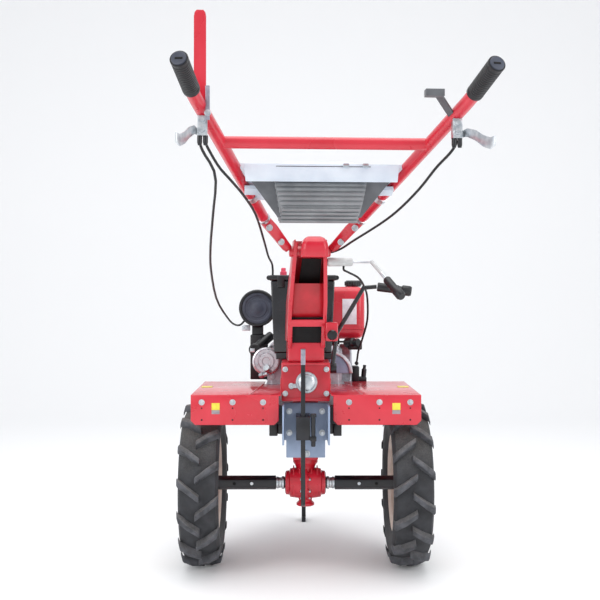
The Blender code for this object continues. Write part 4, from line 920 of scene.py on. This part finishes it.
refined("tool_tray", 0.005, white_plastic, segments=3)
along = (TUBE_HEAD - TUBE_FOOT).normalized()
rise = Vector((0, along.z, -along.y)).normalized()
slope = Vector((0, rise.z, -rise.y))
tray_middle = TUBE_FOOT.lerp(TUBE_HEAD, 0.36)
bin_points, bin_faces = [], []
levels = []
RIBS = 7
for k in range(RIBS):
    base = 0.0075 + (0.085 - 0.0075) * k / RIBS
    step = (0.085 - 0.0075) / RIBS
    levels += [(base, 0.0), (base + step * 0.55, 0.0), (base + step * 0.65, -0.004), (base + step * 0.92, -0.004)]
levels.append((0.085, 0.0))
for drop, inset in levels:
    share = (drop - 0.006) / 0.079
    half = 0.112 + (0.094 - 0.112) * share + inset
    depth = 0.062 + (0.045 - 0.062) * share + inset
    centre = Vector((0, tray_middle.y, tray_middle.z)) - rise * drop
    for a, b in ((-1, -1), (1, -1), (1, 1), (-1, 1)):
        p = centre + Vector((a * half, 0, 0)) + slope * b * depth
        bin_points.append(on_bar(p.x, p.y, p.z))
for k in range(len(levels) - 1):
    for i in range(4):
        j = (i + 1) % 4
        bin_faces.append((4 * k + i, 4 * k + j, 4 * k + 4 + j, 4 * k + 4 + i))
bin_faces += [(0, 3, 2, 1), tuple(4 * (len(levels) - 1) + i for i in range(4))]
# The bin is painted grey as painted shade on the tray's underside.
made = drawn("ribbed_bin", bin_points, (), bin_faces, bin_painted_shade_grey)
edit(outwards())
ribs = [bevelled(made, 0.0012)]
for k in range(4):
    p = Vector((0, tray_middle.y, tray_middle.z)) - rise * 0.0855 + slope * (-0.034 + 0.021 * k)
    rib = slab("bin_rib", (-0.090, -0.0060, -0.0030), (0.090, 0.0060, 0.0), bin_painted_shade_grey, 0.0012)
    across = on_bar(1, 0, 0) - on_bar(0, 0, 0)
    down = on_bar(rise.x, rise.y, rise.z) - on_bar(0, 0, 0)
    rib.data.transform(Matrix.Translation(on_bar(p.x, p.y, p.z))
                       @ Matrix((across, down.cross(across), down)).transposed().to_4x4())
    ribs.append(rib)
stands_for(joined("ribbed_bin", ribs), "tray_bin")
LIP_HALF, LIP_TOP, LIP_FOOT = 0.178, 1.0775, 1.0385
rear_y = TUBE_FOOT.lerp(TUBE_HEAD, 0.50).y - 0.010
lip = sheet_plate("tray_lip", [on_bar(-LIP_HALF, rear_y, LIP_TOP), on_bar(LIP_HALF, rear_y, LIP_TOP),
                               on_bar(LIP_HALF - 0.004, rear_y, LIP_FOOT), on_bar(-LIP_HALF + 0.004, rear_y, LIP_FOOT)],
                  0.003, white_plastic)
# The seam is a dark strip of painted shade.
seam = sheet_plate("tray_seam", [on_bar(-0.105, rear_y - 0.0031, LIP_TOP - 0.0035), on_bar(0.112, rear_y - 0.0031, LIP_TOP - 0.0035),
                                 on_bar(0.112, rear_y - 0.0031, LIP_TOP - 0.0050), on_bar(-0.105, rear_y - 0.0031, LIP_TOP - 0.0050)],
                   0.0003, painted_hollow_shade, 0.0001)
rides(joined("tray_lip_moulding", [lip, seam]), "handlebar")
# The under shell is painted dark grey as painted shade on the tray's underside.
shell = sheet_plate("tray_under_shell", [on_bar(-0.163, -0.330, 1.046), on_bar(0.163, -0.330, 1.046),
                                         on_bar(0.098, -0.300, 0.962), on_bar(-0.098, -0.300, 0.962)], 0.002, dark_plastic_and_shade_paint)
rides(shell, "handlebar")
clips = []
rear = TUBE_FOOT.lerp(TUBE_HEAD, 0.50)
for x in (0.055, 0.100):
    spot = on_bar(x, rear.y - 0.013, rear.z - 0.002)
    clips.append(slab("tray_clip", spot - Vector((0.007, 0.006, 0.002)), spot + Vector((0.007, 0.006, 0.007)), zinc_steel))
rides(joined("tray_clips", clips), "handlebar")

# --- Hand controls ----------------------------------------------------------------------------------
# The clutch lever is a stamped red strip beside the left grip; both hand levers are plated strip on
# clamped brackets, and a small throttle pad sits inside the right tube.

refined("clutch_lever", 0.0016, red_sheet_painted_glare)
for side, sign in SIDES:
    refined(f"{side}_lever_bracket", 0.0015, zinc_steel)
    rows = ((0.2755, -0.571, 1.117, 0.007), (0.2800, -0.600, 1.116, 0.009), (0.2880, -0.640, 1.104, 0.011),
            (0.2960, -0.672, 1.088, 0.012), (0.3040, -0.694, 1.080, 0.012), (0.3110, -0.704, 1.084, 0.010))
    points = [on_bar(sign * (x + thick), y, z + tall * half) for x, y, z, half in rows
              for thick, tall in ((0, -1), (0.003, -1), (0.003, 1), (0, 1))]
    faces = [(0, 3, 2, 1), tuple(4 * (len(rows) - 1) + i for i in range(4))]
    for k in range(len(rows) - 1):
        faces += [(4 * k + i, 4 * k + (i + 1) % 4, 4 * k + 4 + (i + 1) % 4, 4 * k + 4 + i) for i in range(4)]
    made = drawn(f"{side}_curled_lever", points, (), faces, zinc_steel)
    edit(outwards())
    stands_for(bevelled(made, 0.0012), f"{side}_hand_lever")
    low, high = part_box(f"{side}_lever_bracket")
    centre = (low + high) / 2
    details = [bolt(f"{side}_bracket_bolt", (centre.x, low.y - 0.0003, z), (0, -1, 0), 0.010) for z in (low.z + 0.012, low.z + 0.032)]
    rides(joined(f"{side}_bracket_bolts", details), "handlebar")
    ferrules = [turned(f"{side}_ferrule", [(0.0, 0.0052), (0.014, 0.0052), (0.020, 0.0038)],
                       (centre.x + shift, centre.y, low.z + 0.001), (0, 0, -1), 18, black_plastic) for shift in (-0.006, 0.006)]
    rides(joined(f"{side}_ferrules", ferrules), "handlebar")
refined("throttle_lever", 0.0012, dark_plastic_and_shade_paint)
strip = slab("clutch_link", (-0.0045, -0.0015, 0.0), (0.0045, 0.0015, 0.070), bare_steel, 0.001)
strip.data.transform(Matrix.Translation(on_bar(-0.2540, -0.600, 1.136)))
rides(joined("clutch_link_set", [strip, bolt("clutch_bolt", on_bar(-0.2540, -0.602, 1.150), (0, -1, 0), 0.008)]), "handlebar")

# --- Cables -----------------------------------------------------------------------------------------
# Black plastic-sheathed control cables. Three run from the handlebar to the chassis; the engine's stop cable stays on
# the chassis.

# Extruded cable sheath: black, satin.
sheath = surface("extruded_cable_sheath", "08080a", "121216", 10, 0.45, 0.8, 0.03)
for node, low_end, high_end in (
    ("left_lever_cable", at(-0.095, 0.020, 0.8384), at(-0.2145, -0.834, 1.1066)),
    ("left_throttle_cable", at(-0.1894, 0.245, 0.6982), at(-0.2260, -0.838, 1.1066)),
    ("right_lever_cable", at(0.0542, -0.2220, 0.8945), at(0.3060, -0.8075, 1.1066)),
):
    made = drawn(f"{node}_sheath", [], (), (), sheath)
    made.data = nodes[node].data.copy()
    made.data.materials.clear()
    made.data.materials.append(sheath)
    edit((bpy.ops.mesh.remove_doubles, {"threshold": 0.00002}))
    bpy.ops.object.shade_smooth_by_angle(angle=math.radians(60))
    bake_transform(made)
    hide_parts(node)
nodes["engine_stop_cable"].data.materials.clear()
nodes["engine_stop_cable"].data.materials.append(sheath)

# --- Studio ----------------------------------------------------------------------------------------
# A pale floor that runs up into a pale backdrop, a soft lamp above and two at the sides, and the camera
# at the operator's side at waist height.

SWEEP_NEAR, SWEEP_FAR, SWEEP_TOP, SWEEP_HALF, SWEEP_BEND = -7.0, 5.0, 6.0, 9.0, 1.5
profile = [(-SWEEP_HALF, SWEEP_NEAR, 0.0), (-SWEEP_HALF, SWEEP_FAR - SWEEP_BEND, 0.0)]
for i in range(1, 12):
    angle = math.radians(90 * i / 12)
    back = SWEEP_FAR - SWEEP_BEND + SWEEP_BEND * math.sin(angle)
    profile.append((-SWEEP_HALF, back, SWEEP_BEND * (1 - math.cos(angle))))
profile += [(-SWEEP_HALF, SWEEP_FAR, SWEEP_BEND), (-SWEEP_HALF, SWEEP_FAR, SWEEP_TOP)]
sweep = drawn("studio_sweep", profile, [(i, i + 1) for i in range(len(profile) - 1)])
edit((bpy.ops.mesh.extrude_edges_move, {"TRANSFORM_OT_translate": {"value": (2 * SWEEP_HALF, 0, 0)}}))
sweep.data.shade_smooth()
board = bpy.data.materials.new("matt_white_board")
board.use_nodes = True
tree = board.node_tree
shader = tree.nodes["Principled BSDF"]
shader.inputs["Base Color"].default_value = linear("fafafa")
shader.inputs["Roughness"].default_value = 0.9
sweep.data.materials.append(board)

world = bpy.data.worlds.new("studio")
bpy.context.scene.world = world
world.use_nodes = True
world.node_tree.nodes["Background"].inputs["Color"].default_value = linear("f6f8fc")
world.node_tree.nodes["Background"].inputs["Strength"].default_value = 0.80


def lamp(name, place, target, size, power):
    data = bpy.data.lights.new(name, "AREA")
    data.shape = "RECTANGLE"
    data.size, data.size_y = size
    data.energy = power
    made = bpy.data.objects.new(name, data)
    made.location = place
    made.rotation_euler = (Vector(target) - Vector(place)).to_track_quat("-Z", "Y").to_euler()
    bpy.context.scene.collection.objects.link(made)


lamp("top_light", at(0.0, -0.2, 3.4), at(0.0, 0.0, 0.4), (3.2, 3.2), 60)
lamp("left_light", at(-2.6, -2.6, 2.0), at(0, 0, 0.5), (1.8, 2.4), 46)
lamp("right_light", at(2.8, -2.2, 1.8), at(0, 0, 0.5), (1.6, 2.2), 36)

CAMERA_DISTANCE, CAMERA_HEIGHT, CAMERA_SIDE, CAMERA_TURN = 2.9, 0.78, -0.030, 0.286
LENS_PIXELS, IMAGE_SIDE, SENSOR = 1000, 600, 36.0
data = bpy.data.cameras.new("camera")
data.sensor_width = SENSOR
data.lens = LENS_PIXELS / IMAGE_SIDE * SENSOR
camera = bpy.data.objects.new("camera", data)
camera.location = at(CAMERA_SIDE, -CAMERA_DISTANCE, CAMERA_HEIGHT)
camera.rotation_euler = (math.radians(90 - CAMERA_TURN), 0, math.radians(-CAMERA_TURN))
bpy.context.scene.collection.objects.link(camera)
bpy.context.scene.camera = camera
bpy.context.scene.view_settings.view_transform = "Standard"
